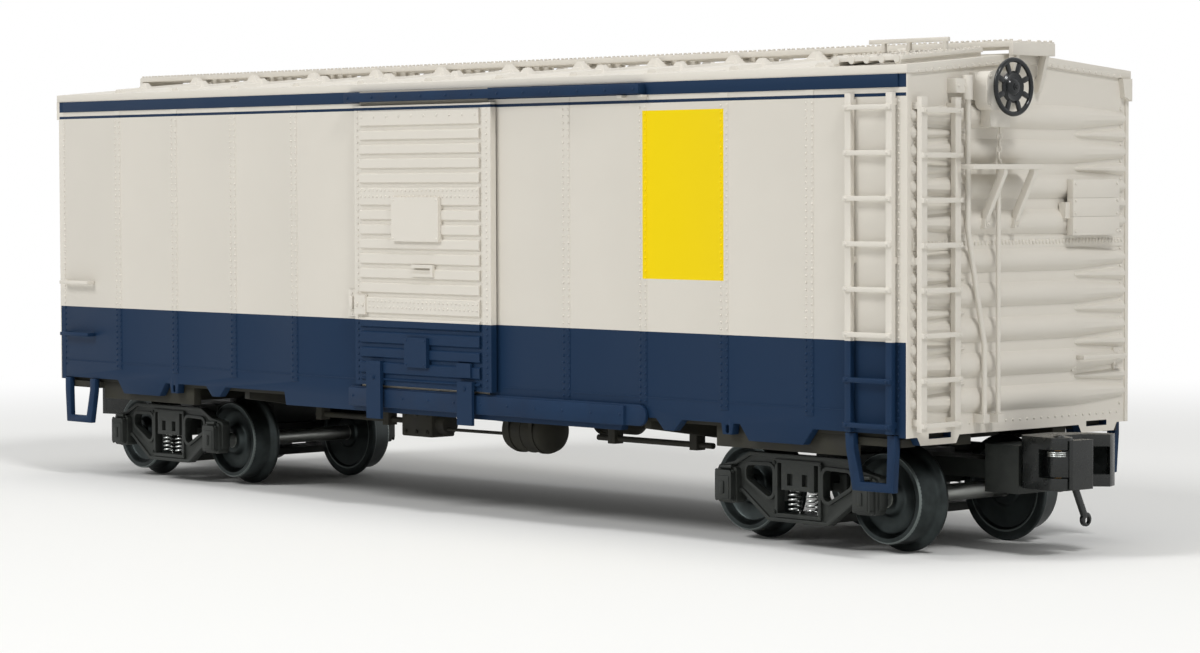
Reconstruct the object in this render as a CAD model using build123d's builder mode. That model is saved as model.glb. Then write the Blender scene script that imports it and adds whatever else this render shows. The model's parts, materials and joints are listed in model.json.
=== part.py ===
from build123d import *
import math
import os

# O gauge model of a steel boxcar, 1:48, in millimetres.
# +X points to the end with the brake wheel, +Z up, and -Y is the side whose door slides to +X.
# The origin is on the floor under the middle of the car, where the wheel flanges stand.
# The car looks the same after half a turn about Z, apart from the brake gear at one end.

os.makedirs("parts", exist_ok=True)

# Body shell
BODY_LENGTH = 265.0
BODY_WIDTH = 62.0
WALL = 1.8
SIDE_BOTTOM = 23.0
SIDE_TOP = 87.0
END_BOTTOM = 22.5
FASCIA_BOTTOM = 84.5
FASCIA_PROUD = 0.3
FLOOR_TOP = 24.6
FLOOR_BOTTOM = 22.2
END_X = BODY_LENGTH / 2
SIDE_Y = BODY_WIDTH / 2
INNER_X = END_X - WALL
INNER_Y = SIDE_Y - WALL
CORNER_Y = SIDE_Y - 0.8

# Side sheets: rivet laps and the tabs that hang from the sill
LAP_X = (-109.0, -87.1, -65.2, -43.4, 43.4, 65.2, 87.1, 109.0)
LAP_WIDTH = 2.2
LAP_PROUD = 0.15
DOORWAY_HALF = 20.5
DOORWAY_BOTTOM = 26.2
DOORWAY_TOP = 83.2
# columns: top left x, bottom left x, bottom right x, top right x, bottom z
SILL_TABS = (
    (-109.8, -107.3, -93.5, -91.1, 20.0),
    (-89.4, -89.0, -86.6, -86.2, 20.9),
    (-75.7, -73.5, -70.8, -68.6, 20.8),
    (-47.3, -46.7, 58.9, 59.5, 20.2),
    (68.6, 70.8, 73.5, 75.7, 20.8),
    (86.2, 86.6, 89.0, 89.4, 20.9),
    (91.1, 93.5, 107.3, 109.8, 20.0),
)
TAB_HOLE_X = (-87.8, 87.8)
TAB_HOLE_Z = 21.9

# Door and its tracks
DOOR_LEFT = -21.1
DOOR_RIGHT = 22.9
DOOR_BOTTOM = 25.9
DOOR_TOP = 83.9
DOOR_GAP = 0.35
DOOR_PLATE = 0.9
DOOR_RIB = 0.5
RIBS_LEFT = -18.9
RIBS_RIGHT = 19.2
POST_LEFT = 20.3
GROOVE_Z = (79.2, 76.3, 73.4, 70.4, 67.4, 62.8, 59.8, 56.8, 53.8, 50.7, 47.7, 44.7, 40.4, 37.5, 34.2, 31.2, 27.9)
GROOVE_HEIGHT = 0.9
BOARD_FRONT = 33.5
TRACK_LEFT = -23.4
LOWER_TRACK_RIGHT = 66.6
UPPER_TRACK_RIGHT = 66.3
LOWER_TRACK_TOP = 25.4
LOWER_TRACK_BOTTOM = 21.3
TRACK_DEPTH = 1.4

# Roof
EAVE_TOP = 88.5
RIDGE_TOP = 91.2
ROOF_HALF = 31.4
ROOF_END = 133.0
SEAM_PITCH = 22.1
SEAM_COUNT = 5
PANEL_Y = 16.6
PANEL_LENGTH = 15.4
PANEL_WIDTH = 19.0
PANEL_PROUD = 0.45
BOARD_HALF = 5.9
BOARD_TOP = 93.2
BOARD_THICK = 1.1
BOARD_END = 135.5
LATERAL_LEFT = 114.0
LATERAL_RIGHT = 131.3
ROOF_GRAB_Y = 18.0

# Pressed ends: rib centres below and above the middle seam
LOWER_RIBS = (28.5, 34.8, 41.1, 47.4, 53.7)
UPPER_RIBS = (60.5, 66.9, 73.3, 79.6)
RIB_HEIGHT = 4.4
RIB_PROUD = 1.2
RIB_FACE = END_X + RIB_PROUD + 0.05
DART_TIP_Y = 15.4
END_SEAM_Z = 56.8

# Ladders
RUNGS = 8
SIDE_LADDER = (119.0, 130.4)
SIDE_RUNG_BOTTOM = 24.4
SIDE_RUNG_PITCH = 8.1
END_LADDER = (-29.5, -19.0)
END_RUNG_BOTTOM = 24.7
END_RUNG_PITCH = 7.97
RAIL_WIDTH = 1.5
RAIL_DEPTH = 1.1
RUNG_SIZE = 0.9
LADDER_GAP = 0.4

# Hand brake
BRAKE_Y = -10.0
WHEEL_Z = 84.7
CHAIN_Y = -9.2

# Trucks, measured from their own centre
TRUCK_X = 99.5
AXLE_HALF = 17.7
AXLE_Z = 10.1
FLANGE_R = 10.1
TREAD_R = 8.6
WHEEL_BACK = 13.4
WHEEL_FACE = 19.5
FLANGE_Y = 14.1
FRAME_IN = 22.3
FRAME_OUT = 24.3
JOURNAL_OUT = 26.2
STUB_R = 1.0
STUB_CLEAR = 0.08
CENTRE_PLATE_TOP = 18.2
FRAME_TOP = 17.3
FRAME_BOTTOM = 4.6
OPENING_HALF = 5.2
SEAT_Z = 6.2
BOLSTER_BOTTOM = 10.6
BOLSTER_TOP = 15.6
BOLSTER_HALF = 4.2
RIM = 0.7
RIM_DEPTH = 0.5
SPRING_X = 2.3
SPRING_R = 1.7
SPRING_CORE = 1.1
COILS = 4
BOX_HALF = 2.6
BOX_TOP = 14.2
BOX_BOTTOM = 7.4

# Coupler, in the car's frame at the brake end
COUPLER_BOTTOM = 12.5
COUPLER_TOP = 22.0
LUG = 2.2
LUG_R = 2.4
KNUCKLE_CLEAR = 0.2
PIN_X = 145.2
PIN_Y = -4.3
PIN_R = 0.9
PIN_CLEAR = 0.08
ARM_END = 136.4
THROAT_X = 142.2
DRAFT_BOX_X = 128.4
DRAFT_BOX_HALF = 5.0

pieces = {}


def keep(name, part):
    """Label one finished piece and write its file."""
    part.label = name
    pieces[name] = part
    export_step(part, f"parts/{name}.step")


def half_turn(part):
    """The same piece at the opposite corner of the car."""
    return part.rotate(Axis.Z, 180)


def block(x, y, z):
    """A box between pairs of coordinates, joined to the part being built."""
    size = (x[1] - x[0], y[1] - y[0], z[1] - z[0])
    with Locations(((x[0] + x[1]) / 2, (y[0] + y[1]) / 2, (z[0] + z[1]) / 2)):
        Box(*size)


def roof_z(y):
    """Height of the roof's top at a distance y from the middle."""
    return RIDGE_TOP - (RIDGE_TOP - EAVE_TOP) * abs(y) / ROOF_HALF


# Side sheets
def side_sheet():
    with BuildPart() as side:
        with BuildSketch(Plane.XZ.offset(SIDE_Y)):
            with BuildLine():
                outline = [(-INNER_X, SIDE_BOTTOM)]
                for top_left, low_left, low_right, top_right, low_z in SILL_TABS:
                    outline += [(top_left, SIDE_BOTTOM), (low_left, low_z)]
                    outline += [(low_right, low_z), (top_right, SIDE_BOTTOM)]
                outline += [(INNER_X, SIDE_BOTTOM), (INNER_X, SIDE_TOP), (-INNER_X, SIDE_TOP)]
                Polyline(outline, close=True)
            make_face()
            doorway_z = (DOORWAY_BOTTOM + DOORWAY_TOP) / 2
            with Locations((0, doorway_z)):
                Rectangle(2 * DOORWAY_HALF, DOORWAY_TOP - DOORWAY_BOTTOM, mode=Mode.SUBTRACT)
            with Locations([(x, TAB_HOLE_Z) for x in TAB_HOLE_X]):
                SlotOverall(1.7, 0.9, rotation=90, mode=Mode.SUBTRACT)
        extrude(amount=-WALL)
        for x in LAP_X:
            block((x - LAP_WIDTH / 2, x + LAP_WIDTH / 2), (-SIDE_Y - LAP_PROUD, -SIDE_Y + 0.5),
                  (SIDE_BOTTOM + 2.4, FASCIA_BOTTOM))
        block((-INNER_X, INNER_X), (-SIDE_Y - FASCIA_PROUD, -SIDE_Y + 0.5), (FASCIA_BOTTOM, SIDE_TOP))
    return side.part


keep("side_near", side_sheet())
keep("side_far", half_turn(pieces["side_near"]))


# Pressed steel ends
def bulge(y, height, proud):
    """One section of a pressed rib: a flattened arch of five flats standing on the end sheet."""
    root = -0.4
    at = Plane(origin=(END_X, y, 0), x_dir=(0, 0, 1), z_dir=(0, 1, 0))
    with BuildSketch(at) as section:
        with BuildLine():
            # columns: share of the half height, share of the depth
            arch = [(part * height / 2, depth * proud) for part, depth in
                    ((-1.0, 0.0), (-0.66, 0.62), (-0.27, 1.0), (0.27, 1.0), (0.66, 0.62), (1.0, 0.0))]
            Polyline(arch + [(height / 2, root), (-height / 2, root)], close=True)
        make_face()
    return section.sketch


def end_sheet():
    # columns: y, rib height, how far it stands proud
    rib_sections = (
        (-30.0, 1.2, 0.1), (-29.3, 2.3, 0.85), (-DART_TIP_Y, RIB_HEIGHT, RIB_PROUD),
        (DART_TIP_Y, RIB_HEIGHT, RIB_PROUD), (29.3, 2.3, 0.85), (30.0, 1.2, 0.1),
    )
    dart_sections = ((DART_TIP_Y, 0.6, 0.1), (16.4, 1.0, 0.5), (29.3, 2.4, 0.85), (30.0, 1.2, 0.1))
    with BuildPart() as end:
        with BuildSketch(Plane.YZ.offset(INNER_X)):
            with BuildLine():
                Polyline((-SIDE_Y, END_BOTTOM), (SIDE_Y, END_BOTTOM), (SIDE_Y, SIDE_TOP),
                         (INNER_Y, SIDE_TOP), (0, roof_z(0) - WALL), (-INNER_Y, SIDE_TOP),
                         (-SIDE_Y, SIDE_TOP), close=True)
            make_face()
            for side in (-1, 1):
                with Locations((side * 22.4, END_BOTTOM)):
                    Trapezoid(13.0, 3.0, 60, rotation=180)
                with Locations((side * 22.0, END_BOTTOM + 0.1)):
                    Rectangle(6.0, 1.0, mode=Mode.SUBTRACT)
        extrude(amount=WALL)
        rib = loft([bulge(*section) for section in rib_sections], ruled=True, mode=Mode.PRIVATE)
        dart = loft([bulge(*section) for section in dart_sections], ruled=True, mode=Mode.PRIVATE)
        add([rib.moved(Location((0, 0, z))) for z in LOWER_RIBS + UPPER_RIBS])
        middles = [(below + above) / 2 for row in (LOWER_RIBS, UPPER_RIBS) for below, above in zip(row, row[1:])]
        darts = [dart.moved(Location((0, 0, z))) for z in middles]
        add(darts)
        add([each.mirror(Plane.XZ) for each in darts])
        block((END_X - 0.5, END_X + 0.2), (-29.5, 29.5), (END_SEAM_Z - 1.1, END_SEAM_Z + 1.1))
        for side in (-1, 1):
            edges = sorted((side * SIDE_Y, side * (SIDE_Y - 0.9)))
            block((END_X - 0.5, END_X + 0.25), edges, (END_BOTTOM, SIDE_TOP))
        # bracket at the upper corner away from the ladder
        with BuildSketch(Plane.YZ.offset(END_X - 0.5)):
            with BuildLine():
                Polyline((28.2, 87.0), (28.8, 83.6), (31.0, 82.8), (31.0, 87.0), close=True)
            make_face()
        extrude(amount=1.6)
    return end.part


keep("end_brake", end_sheet())
keep("end_plain", half_turn(pieces["end_brake"]))


# Roof sheet with its seam caps
def seam_cap():
    """The cap on one roof seam, one half on each slope, with a knob at its ends."""
    fall = math.atan2(RIDGE_TOP - EAVE_TOP, ROOF_HALF)
    # columns: y, base length, base width, height of the raised knob
    knobs = ((7.4, 5.8, 2.6, 2.0), (22.0, 4.6, 2.8, 1.7))
    halves = []
    for side in (-1, 1):
        down = (0, side * math.cos(fall), -math.sin(fall))
        up = (0, side * math.sin(fall), math.cos(fall))
        with BuildPart() as cap:
            with BuildSketch(Plane(origin=(0, side * 4.0, roof_z(4.0)), x_dir=(-side, 0, 0), z_dir=down)):
                with BuildLine():
                    Polyline((-1.7, -0.3), (1.7, -0.3), (0.8, 0.8), (-0.8, 0.8), close=True)
                make_face()
            extrude(amount=25.8)
            for y, base_x, base_y, height in knobs:
                sit = Plane(origin=(0, side * y, roof_z(y)), x_dir=(1, 0, 0), z_dir=up)
                with BuildSketch(sit.offset(-0.3)):
                    Rectangle(base_x, base_y)
                with BuildSketch(sit.offset(height)):
                    Rectangle(1.3, 1.0)
                loft()
        halves.append(cap.part)
    return halves


with BuildPart() as roof:
    with BuildSketch(Plane.YZ.offset(-ROOF_END)):
        with BuildLine():
            Polyline((-ROOF_HALF, SIDE_TOP), (-ROOF_HALF, EAVE_TOP), (0, RIDGE_TOP),
                     (ROOF_HALF, EAVE_TOP), (ROOF_HALF, SIDE_TOP), (INNER_Y, SIDE_TOP),
                     (0, RIDGE_TOP - WALL), (-INNER_Y, SIDE_TOP), close=True)
        make_face()
    extrude(amount=2 * ROOF_END)
    add([cap.moved(Location((seam * SEAM_PITCH, 0, 0))) for cap in seam_cap()
         for seam in range(-SEAM_COUNT, SEAM_COUNT + 1)])
    # raised panel pressed into each bay of both slopes
    fall = math.atan2(RIDGE_TOP - EAVE_TOP, ROOF_HALF)
    for side in (-1, 1):
        slope = Plane(origin=(0, side * PANEL_Y, roof_z(PANEL_Y)), x_dir=(1, 0, 0),
                      z_dir=(0, side * math.sin(fall), math.cos(fall)))
        with BuildSketch(slope.offset(-0.1)):
            with GridLocations(SEAM_PITCH, 1.0, 2 * SEAM_COUNT, 1):
                Rectangle(PANEL_LENGTH, PANEL_WIDTH)
        extrude(amount=PANEL_PROUD + 0.1, taper=45)
keep("roof", roof.part)

# Running board along the ridge, on saddles, with a bracket at each end
with BuildPart() as running_board:
    with BuildSketch(Plane.XY.offset(BOARD_TOP - BOARD_THICK)):
        Rectangle(2 * BOARD_END, 2 * BOARD_HALF)
        with GridLocations(SEAM_PITCH, 2.6, 12, 4):
            Rectangle(SEAM_PITCH - 1.8, 1.6, mode=Mode.SUBTRACT)
    extrude(amount=BOARD_THICK)
    saddle_z = (RIDGE_TOP + BOARD_TOP - BOARD_THICK) / 2
    with Locations([(seam * SEAM_PITCH, 0, saddle_z) for seam in range(-SEAM_COUNT, SEAM_COUNT + 1)]):
        Box(2.8, 7.6, BOARD_TOP - BOARD_THICK - RIDGE_TOP)
    for end in (-1, 1):
        lip = sorted((end * (BOARD_END - 0.9), end * (BOARD_END + 0.2)))
        block(lip, (-BOARD_HALF, BOARD_HALF), (BOARD_TOP - 2.6, BOARD_TOP - 0.3))
        for y in (-4.2, 4.2):
            with BuildSketch(Plane.XZ.offset(y - 0.45)):
                with BuildLine():
                    Polyline((end * END_X, 84.0), (end * END_X, 86.0), (end * 133.2, 87.2),
                             (end * 133.6, 90.9), (end * BOARD_END, 90.9), (end * 133.6, 84.0), close=True)
                make_face()
            extrude(amount=0.9)
keep("running_board", running_board.part)


# Short boards from the running board to the eave, at two opposite corners
def lateral_board():
    fall_angle = math.atan2(RIDGE_TOP - EAVE_TOP, ROOF_HALF)
    down = (0, -math.cos(fall_angle), -math.sin(fall_angle))
    middle_x = (LATERAL_LEFT + LATERAL_RIGHT) / 2
    width = LATERAL_RIGHT - LATERAL_LEFT
    with BuildPart() as lateral:
        start = Plane(origin=(middle_x, -9.0, roof_z(9.0)), x_dir=(1, 0, 0), z_dir=down)
        with BuildSketch(start):
            with Locations((0, 1.15)):
                Rectangle(width, 0.8)
        extrude(amount=21.6)
        with BuildSketch(start):
            with Locations((-width / 2 + 1.2, 0.4), (width / 2 - 1.2, 0.4)):
                Rectangle(1.4, 0.8)
        extrude(amount=21.6)
        top = Plane(origin=(middle_x, -20.0, roof_z(20.0)), x_dir=(1, 0, 0),
                    z_dir=(0, -math.sin(fall_angle), math.cos(fall_angle)))
        with BuildSketch(top.offset(0.5)):
            with GridLocations(2.9, 9.4, 5, 2):
                Rectangle(1.5, 8.2)
        extrude(amount=1.5, mode=Mode.SUBTRACT)
    return lateral.part


keep("lateral_board_brake", lateral_board())
keep("lateral_board_plain", half_turn(pieces["lateral_board_brake"]))


# Ladders
def ladder(width, height, bottom_rung, pitch, gap):
    """A ladder standing in the XZ plane in front of Y = 0, its back towards +Y."""
    with BuildPart() as steps:
        for side in (-1, 1):
            edge = sorted((side * width / 2, side * (width / 2 - RAIL_WIDTH)))
            block(edge, (-gap - RAIL_DEPTH, -gap), (0, height))
            for foot in (1.0, height / 2, height - 2.2):
                block(edge, (-gap, 0), (foot, foot + 1.2))
        for rung in range(RUNGS):
            z = bottom_rung + rung * pitch
            block((-width / 2, width / 2), (-gap - RAIL_DEPTH - RUNG_SIZE * 0.6, -gap - RAIL_DEPTH + 0.3),
                  (z - RUNG_SIZE / 2, z + RUNG_SIZE / 2))
    return steps.part


side_ladder_width = SIDE_LADDER[1] - SIDE_LADDER[0]
side_ladder_z = SIDE_RUNG_BOTTOM - 1.3
side_steps = ladder(side_ladder_width, 60.5, 1.3, SIDE_RUNG_PITCH, LADDER_GAP)
near_ladder = side_steps.moved(Location((sum(SIDE_LADDER) / 2, -SIDE_Y, side_ladder_z)))
keep("ladder_side_near", near_ladder)
keep("ladder_side_far", half_turn(near_ladder))

end_steps = ladder(END_LADDER[1] - END_LADDER[0], 59.2, 1.1, END_RUNG_PITCH, RIB_PROUD)
with BuildPart() as end_ladder:
    add(end_steps.moved(Location((END_X, sum(END_LADDER) / 2, END_RUNG_BOTTOM - 1.1), (0, 0, 90))))
    add(pieces["end_brake"], mode=Mode.SUBTRACT)
keep("ladder_end_brake", end_ladder.part)
keep("ladder_end_plain", half_turn(end_ladder.part))


# Grab irons: a bar on two feet
def grab_iron(length, reach, thick=0.8):
    """A bar along X in front of Y = 0."""
    with BuildPart() as grab:
        block((-length / 2, length / 2), (-reach - thick / 2, -reach + thick / 2), (-thick / 2, thick / 2))
        for side in (-1, 1):
            foot = sorted((side * length / 2, side * (length / 2 - thick)))
            block(foot, (-reach, 0), (-thick / 2, thick / 2))
    return grab.part


with BuildPart() as grab_irons:
    side_grab = grab_iron(11.4, 1.7)
    end_grab = grab_iron(12.8, 2.6)
    for angle in (0, 180):
        for z in (45.1, 33.1):
            add(side_grab.moved(Location((-124.4, -SIDE_Y, z))).rotate(Axis.Z, angle))
        add(end_grab.moved(Location((END_X, 21.0, 35.2), (0, 0, 90))).rotate(Axis.Z, angle))
    add(pieces["end_brake"], mode=Mode.SUBTRACT)
    add(pieces["end_plain"], mode=Mode.SUBTRACT)
keep("grab_irons", grab_irons.part)


# Roof corner grab irons on the lateral boards
def roof_grab():
    rest_z = roof_z(ROOF_GRAB_Y) + 1.62
    y = (-ROOF_GRAB_Y - 0.4, -ROOF_GRAB_Y + 0.4)
    with BuildPart() as grab:
        block((111.9, 131.0), y, (92.9, 93.7))
        for x in (115.4, 121.5, 130.2):
            block((x - 0.4, x + 0.4), y, (rest_z, 93.3))
    return grab.part


keep("roof_grab_brake", roof_grab())
keep("roof_grab_plain", half_turn(pieces["roof_grab_brake"]))


# Stirrup steps under the four corners
def stirrup(lean):
    """Seen from outside at the near side; lean is +1 where the left leg slopes in."""
    with BuildPart() as step:
        with BuildSketch(Plane.XZ.offset(CORNER_Y)):
            with BuildLine():
                Polyline((118.2, 22.9), (118.4, 20.0), (120.0, 12.6), (129.9, 12.6),
                         (130.4, 20.0), (130.4, 22.9), close=True)
            make_face()
            with BuildLine():
                Polyline((120.3, 23.5), (120.4, 20.2), (121.9, 14.2), (128.2, 14.2),
                         (128.4, 20.2), (128.4, 23.5), close=True)
            make_face(mode=Mode.SUBTRACT)
        extrude(amount=1.3)
    if lean < 0:
        return step.part.mirror(Plane.YZ)
    return step.part


with BuildPart() as stirrups:
    for lean in (1, -1):
        for angle in (0, 180):
            add(stirrup(lean).rotate(Axis.Z, angle))
keep("stirrups", stirrups.part)


# Doors
def door():
    outer = -SIDE_Y - DOOR_GAP
    face = outer - DOOR_PLATE
    with BuildPart() as leaf:
        block((DOOR_LEFT, DOOR_RIGHT), (face, outer), (DOOR_BOTTOM, DOOR_TOP))
        # pressed ribs: a raised panel with a groove between each two ribs
        edges = [DOOR_TOP - 0.6, *GROOVE_Z, DOOR_BOTTOM + 0.6]
        half = GROOVE_HEIGHT / 2
        for above, below in zip(edges, edges[1:]):
            high, low = above - half, below + half
            with BuildSketch(Plane.YZ.offset(RIBS_LEFT)):
                with BuildLine():
                    Polyline((face + 0.1, high + 0.2), (face - DOOR_RIB, high - 0.2),
                             (face - DOOR_RIB, low + 0.2), (face + 0.1, low - 0.2), close=True)
                make_face()
            extrude(amount=RIBS_RIGHT - RIBS_LEFT)
        # post at the closing edge
        block((POST_LEFT, DOOR_RIGHT), (face - DOOR_RIB, face), (DOOR_BOTTOM, DOOR_TOP))
        # two blank boards for notices, a box and a catch
        block((-7.6, 7.4), (-BOARD_FRONT, face), (55.9, 65.0))
        block((-3.6, 3.4), (-BOARD_FRONT, face), (30.1, 36.2))
        block((12.4, 16.8), (-BOARD_FRONT + 0.4, face), (28.6, 31.5))
        block((-20.4, -16.8), (-BOARD_FRONT + 0.4, face), (40.6, 44.6))
        # handle: two bars and the upright between them
        for z in (48.7, 50.5):
            block((-1.5, 5.2), (-BOARD_FRONT + 0.3, face), (z, z + 0.7))
        block((4.4, 5.2), (-BOARD_FRONT + 0.3, face), (48.7, 51.2))
        # hangers that hook over the lower track
        hook_y = -SIDE_Y - TRACK_DEPTH - DOOR_GAP
        # columns: left edge, top
        for x, top in ((-16.1, 31.0), (13.0, 27.8)):
            block((x, x + 4.6), (hook_y - 0.7, hook_y), (19.0, top))
            block((x, x + 4.6), (hook_y - 0.7, face), (26.3, top))
    return leaf.part


keep("door_near", door())
keep("door_far", half_turn(pieces["door_near"]))


# Door tracks
def door_track():
    with BuildPart() as track:
        with BuildSketch(Plane.XZ.offset(SIDE_Y)):
            with BuildLine():
                radius = (LOWER_TRACK_TOP - LOWER_TRACK_BOTTOM) / 2
                right = LOWER_TRACK_RIGHT - radius
                Polyline((right, LOWER_TRACK_BOTTOM), (TRACK_LEFT, LOWER_TRACK_BOTTOM),
                         (TRACK_LEFT, LOWER_TRACK_TOP), (right, LOWER_TRACK_TOP))
                ThreePointArc((right, LOWER_TRACK_TOP),
                              (LOWER_TRACK_RIGHT, LOWER_TRACK_BOTTOM + radius), (right, LOWER_TRACK_BOTTOM))
            make_face()
        extrude(amount=0.8)
        block((TRACK_LEFT, 61.0), (-SIDE_Y - TRACK_DEPTH, -SIDE_Y), (LOWER_TRACK_BOTTOM, LOWER_TRACK_BOTTOM + 1.2))
        block((TRACK_LEFT, 61.0), (-SIDE_Y - TRACK_DEPTH, -SIDE_Y - TRACK_DEPTH + 0.7),
              (LOWER_TRACK_BOTTOM, LOWER_TRACK_TOP - 0.3))
        block((TRACK_LEFT, UPPER_TRACK_RIGHT), (-SIDE_Y - 2.3, -SIDE_Y - FASCIA_PROUD), (84.7, 86.6))
    return track.part


keep("door_track_near", door_track())
keep("door_track_far", half_turn(pieces["door_track_near"]))

# Floor, centre sill, cross bearers and bolsters
with BuildPart() as floor:
    block((-INNER_X, INNER_X), (-INNER_Y, INNER_Y), (FLOOR_BOTTOM, FLOOR_TOP))
keep("floor", floor.part)

with BuildPart() as underframe:
    block((-112.0, 112.0), (-4.0, 4.0), (18.4, FLOOR_BOTTOM))
    for x in (-63.8, -33.0, 0.0, 33.0, 63.8):
        with BuildSketch(Plane.YZ.offset(x - 0.9)):
            with BuildLine():
                Polyline((-28.6, FLOOR_BOTTOM), (-28.6, 20.6), (-8.0, 17.6), (8.0, 17.6),
                         (28.6, 20.6), (28.6, FLOOR_BOTTOM), close=True)
            make_face()
        extrude(amount=1.8)
    for end in (-1, 1):
        with Locations((end * TRUCK_X, 0, 20.35)):
            Box(10.0, 57.0, 3.7)
        for side in (-1, 1):
            x = sorted((end * 83.0, end * 118.0))
            y = sorted((side * 27.0, side * 29.0))
            block(x, y, (18.4, FLOOR_BOTTOM))
        for side in (-1, 1):
            x = sorted((end * 118.0, end * INNER_X))
            y = sorted((side * 26.5, side * CORNER_Y))
            block(x, y, (20.7, FLOOR_BOTTOM))
            x = sorted((end * 128.4, end * INNER_X))
            y = sorted((side * 11.5, side * 15.3))
            block(x, y, (20.4, FLOOR_BOTTOM))
keep("underframe", underframe.part)

# Air brake gear under the floor
with BuildPart() as air_reservoir:
    with BuildSketch(Plane.XZ):
        with BuildLine():
            Polyline((-7.0, 0), (-7.0, 1.5), (-5.5, 4.6), (5.5, 4.6), (7.0, 1.5), (7.0, 0), close=True)
        make_face()
    revolve(axis=Axis.X)
keep("air_reservoir", air_reservoir.part.moved(Location((10.5, -10.0, 16.6))))

with BuildPart() as brake_cylinder:
    with BuildSketch(Plane.XZ):
        with BuildLine():
            Polyline((-6.0, 0), (-6.0, 4.0), (-5.0, 4.0), (-5.0, 3.4), (4.0, 3.4), (6.0, 1.4),
                     (12.0, 0.9), (12.0, 0), close=True)
        make_face()
    revolve(axis=Axis.X)
keep("brake_cylinder", brake_cylinder.part.moved(Location((14.0, 12.0, 18.2))))

with BuildPart() as control_valve:
    block((-27.0, -17.0), (-15.0, -8.6), (13.8, FLOOR_BOTTOM))
    with Locations(Location((-16.0, -11.8, 16.6), (0, 90, 0))):
        Cylinder(2.2, 3.0)
keep("control_valve", control_valve.part)

with BuildPart() as brake_rods:
    for x, length, y, z in ((48.5, 33.0, -12.0, 16.4), (-45.0, 34.0, -10.5, 16.6)):
        with Locations(Location((x, y, z), (0, 90, 0))):
            Cylinder(0.6, length)
    for x in (37.0, 60.5, -36.5, -60.0):
        y = -12.0 if x > 0 else -10.5
        block((x - 1.0, x + 1.0), (y - 1.2, y + 1.2), (15.4, FLOOR_BOTTOM))
keep("brake_rods", brake_rods.part)

# Hand brake at the brake end
with BuildPart() as brake_housing:
    block((END_X, RIB_FACE + 0.2), (BRAKE_Y - 4.2, BRAKE_Y + 4.2), (82.4, 87.4))
    block((RIB_FACE, END_X + 3.6), (BRAKE_Y - 2.6, BRAKE_Y + 2.8), (77.6, 81.2))
    with BuildSketch(Plane.YZ.offset(RIB_FACE)):
        with Locations((BRAKE_Y, 84.1)):
            RectangleRounded(8.4, 7.0, 1.8)
    extrude(amount=END_X + 4.2 - RIB_FACE)
    with Locations(Location((END_X + 5.1, BRAKE_Y, WHEEL_Z), (0, 90, 0))):
        Cylinder(1.0, 2.0)
keep("brake_housing", brake_housing.part)

with BuildPart() as brake_wheel:
    with BuildSketch(Plane.XY):
        Circle(1.9)
    extrude(amount=1.2)
    with BuildSketch(Plane.XZ):
        with Locations((4.85, 0.8)):
            RegularPolygon(0.55, 6)
    revolve(axis=Axis.Z)
    with BuildSketch(Plane.XY.offset(0.3)):
        with PolarLocations(3.2, 8):
            Rectangle(3.4, 0.7)
    extrude(amount=0.6)
keep("brake_wheel", brake_wheel.part.moved(Location((END_X + 6.1, BRAKE_Y, WHEEL_Z), (0, 90, 0))))

with BuildPart() as brake_rod:
    with Locations((END_X + 2.6, CHAIN_Y, 74.25)):
        Cylinder(0.45, 6.7)
    with Locations((END_X + 2.6, CHAIN_Y, 47.2)):
        Cylinder(0.5, 45.6)
    block((END_X, END_X + 3.2), (CHAIN_Y - 0.8, CHAIN_Y + 0.8), (24.4, 26.0))
keep("brake_rod", brake_rod.part)

with BuildPart() as brake_step:
    block((END_X + 3.4, END_X + 6.6), (-20.4, -1.4), (70.0, 70.9))
    block((RIB_FACE, END_X + 3.4), (-15.4, -1.4), (70.0, 70.9))
    for y in (-11.6, -3.3):
        block((END_X, RIB_FACE), (y - 0.5, y + 0.5), (70.0, 70.9))
        with BuildSketch(Plane.XZ.offset(-y - 0.5)):
            with BuildLine():
                Polyline((RIB_FACE, 59.6), (RIB_FACE + 0.7, 59.6), (RIB_FACE + 1.1, 61.4), (END_X + 6.4, 69.2),
                         (END_X + 6.4, 70.0), (END_X + 5.3, 70.0), (RIB_FACE, 62.4), close=True)
            make_face()
        extrude(amount=1.0)
keep("brake_step", brake_step.part)

with BuildPart() as retainer_valve:
    block((END_X, END_X + 2.2), (-20.2, -17.2), (83.6, 86.2))
    with Locations((END_X + 2.0, -17.0, 84.6)):
        Cylinder(0.95, 4.4)
    with BuildLine() as pipe_path:
        FilletPolyline((END_X + 2.0, -16.8, 83.0), (END_X + 2.0, -16.8, 59.0),
                       (END_X + 2.0, -12.3, 38.5), (END_X + 2.0, -12.3, 24.4), radius=8.0)
    with BuildSketch(Plane.XY.offset(83.0)):
        with Locations((END_X + 2.0, -16.8)):
            Circle(0.5)
    sweep(path=pipe_path.line)
    block((END_X, END_X + 2.6), (-13.1, -11.5), (24.4, 26.0))
keep("retainer_valve", retainer_valve.part)

with BuildPart() as placards:
    for angle in (0, 180):
        board = Box(1.5, 15.0, 10.4, mode=Mode.PRIVATE)
        add(board.moved(Location((RIB_FACE + 0.75, 19.2, 63.0))).rotate(Axis.Z, angle))
keep("placards", placards.part)


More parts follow.
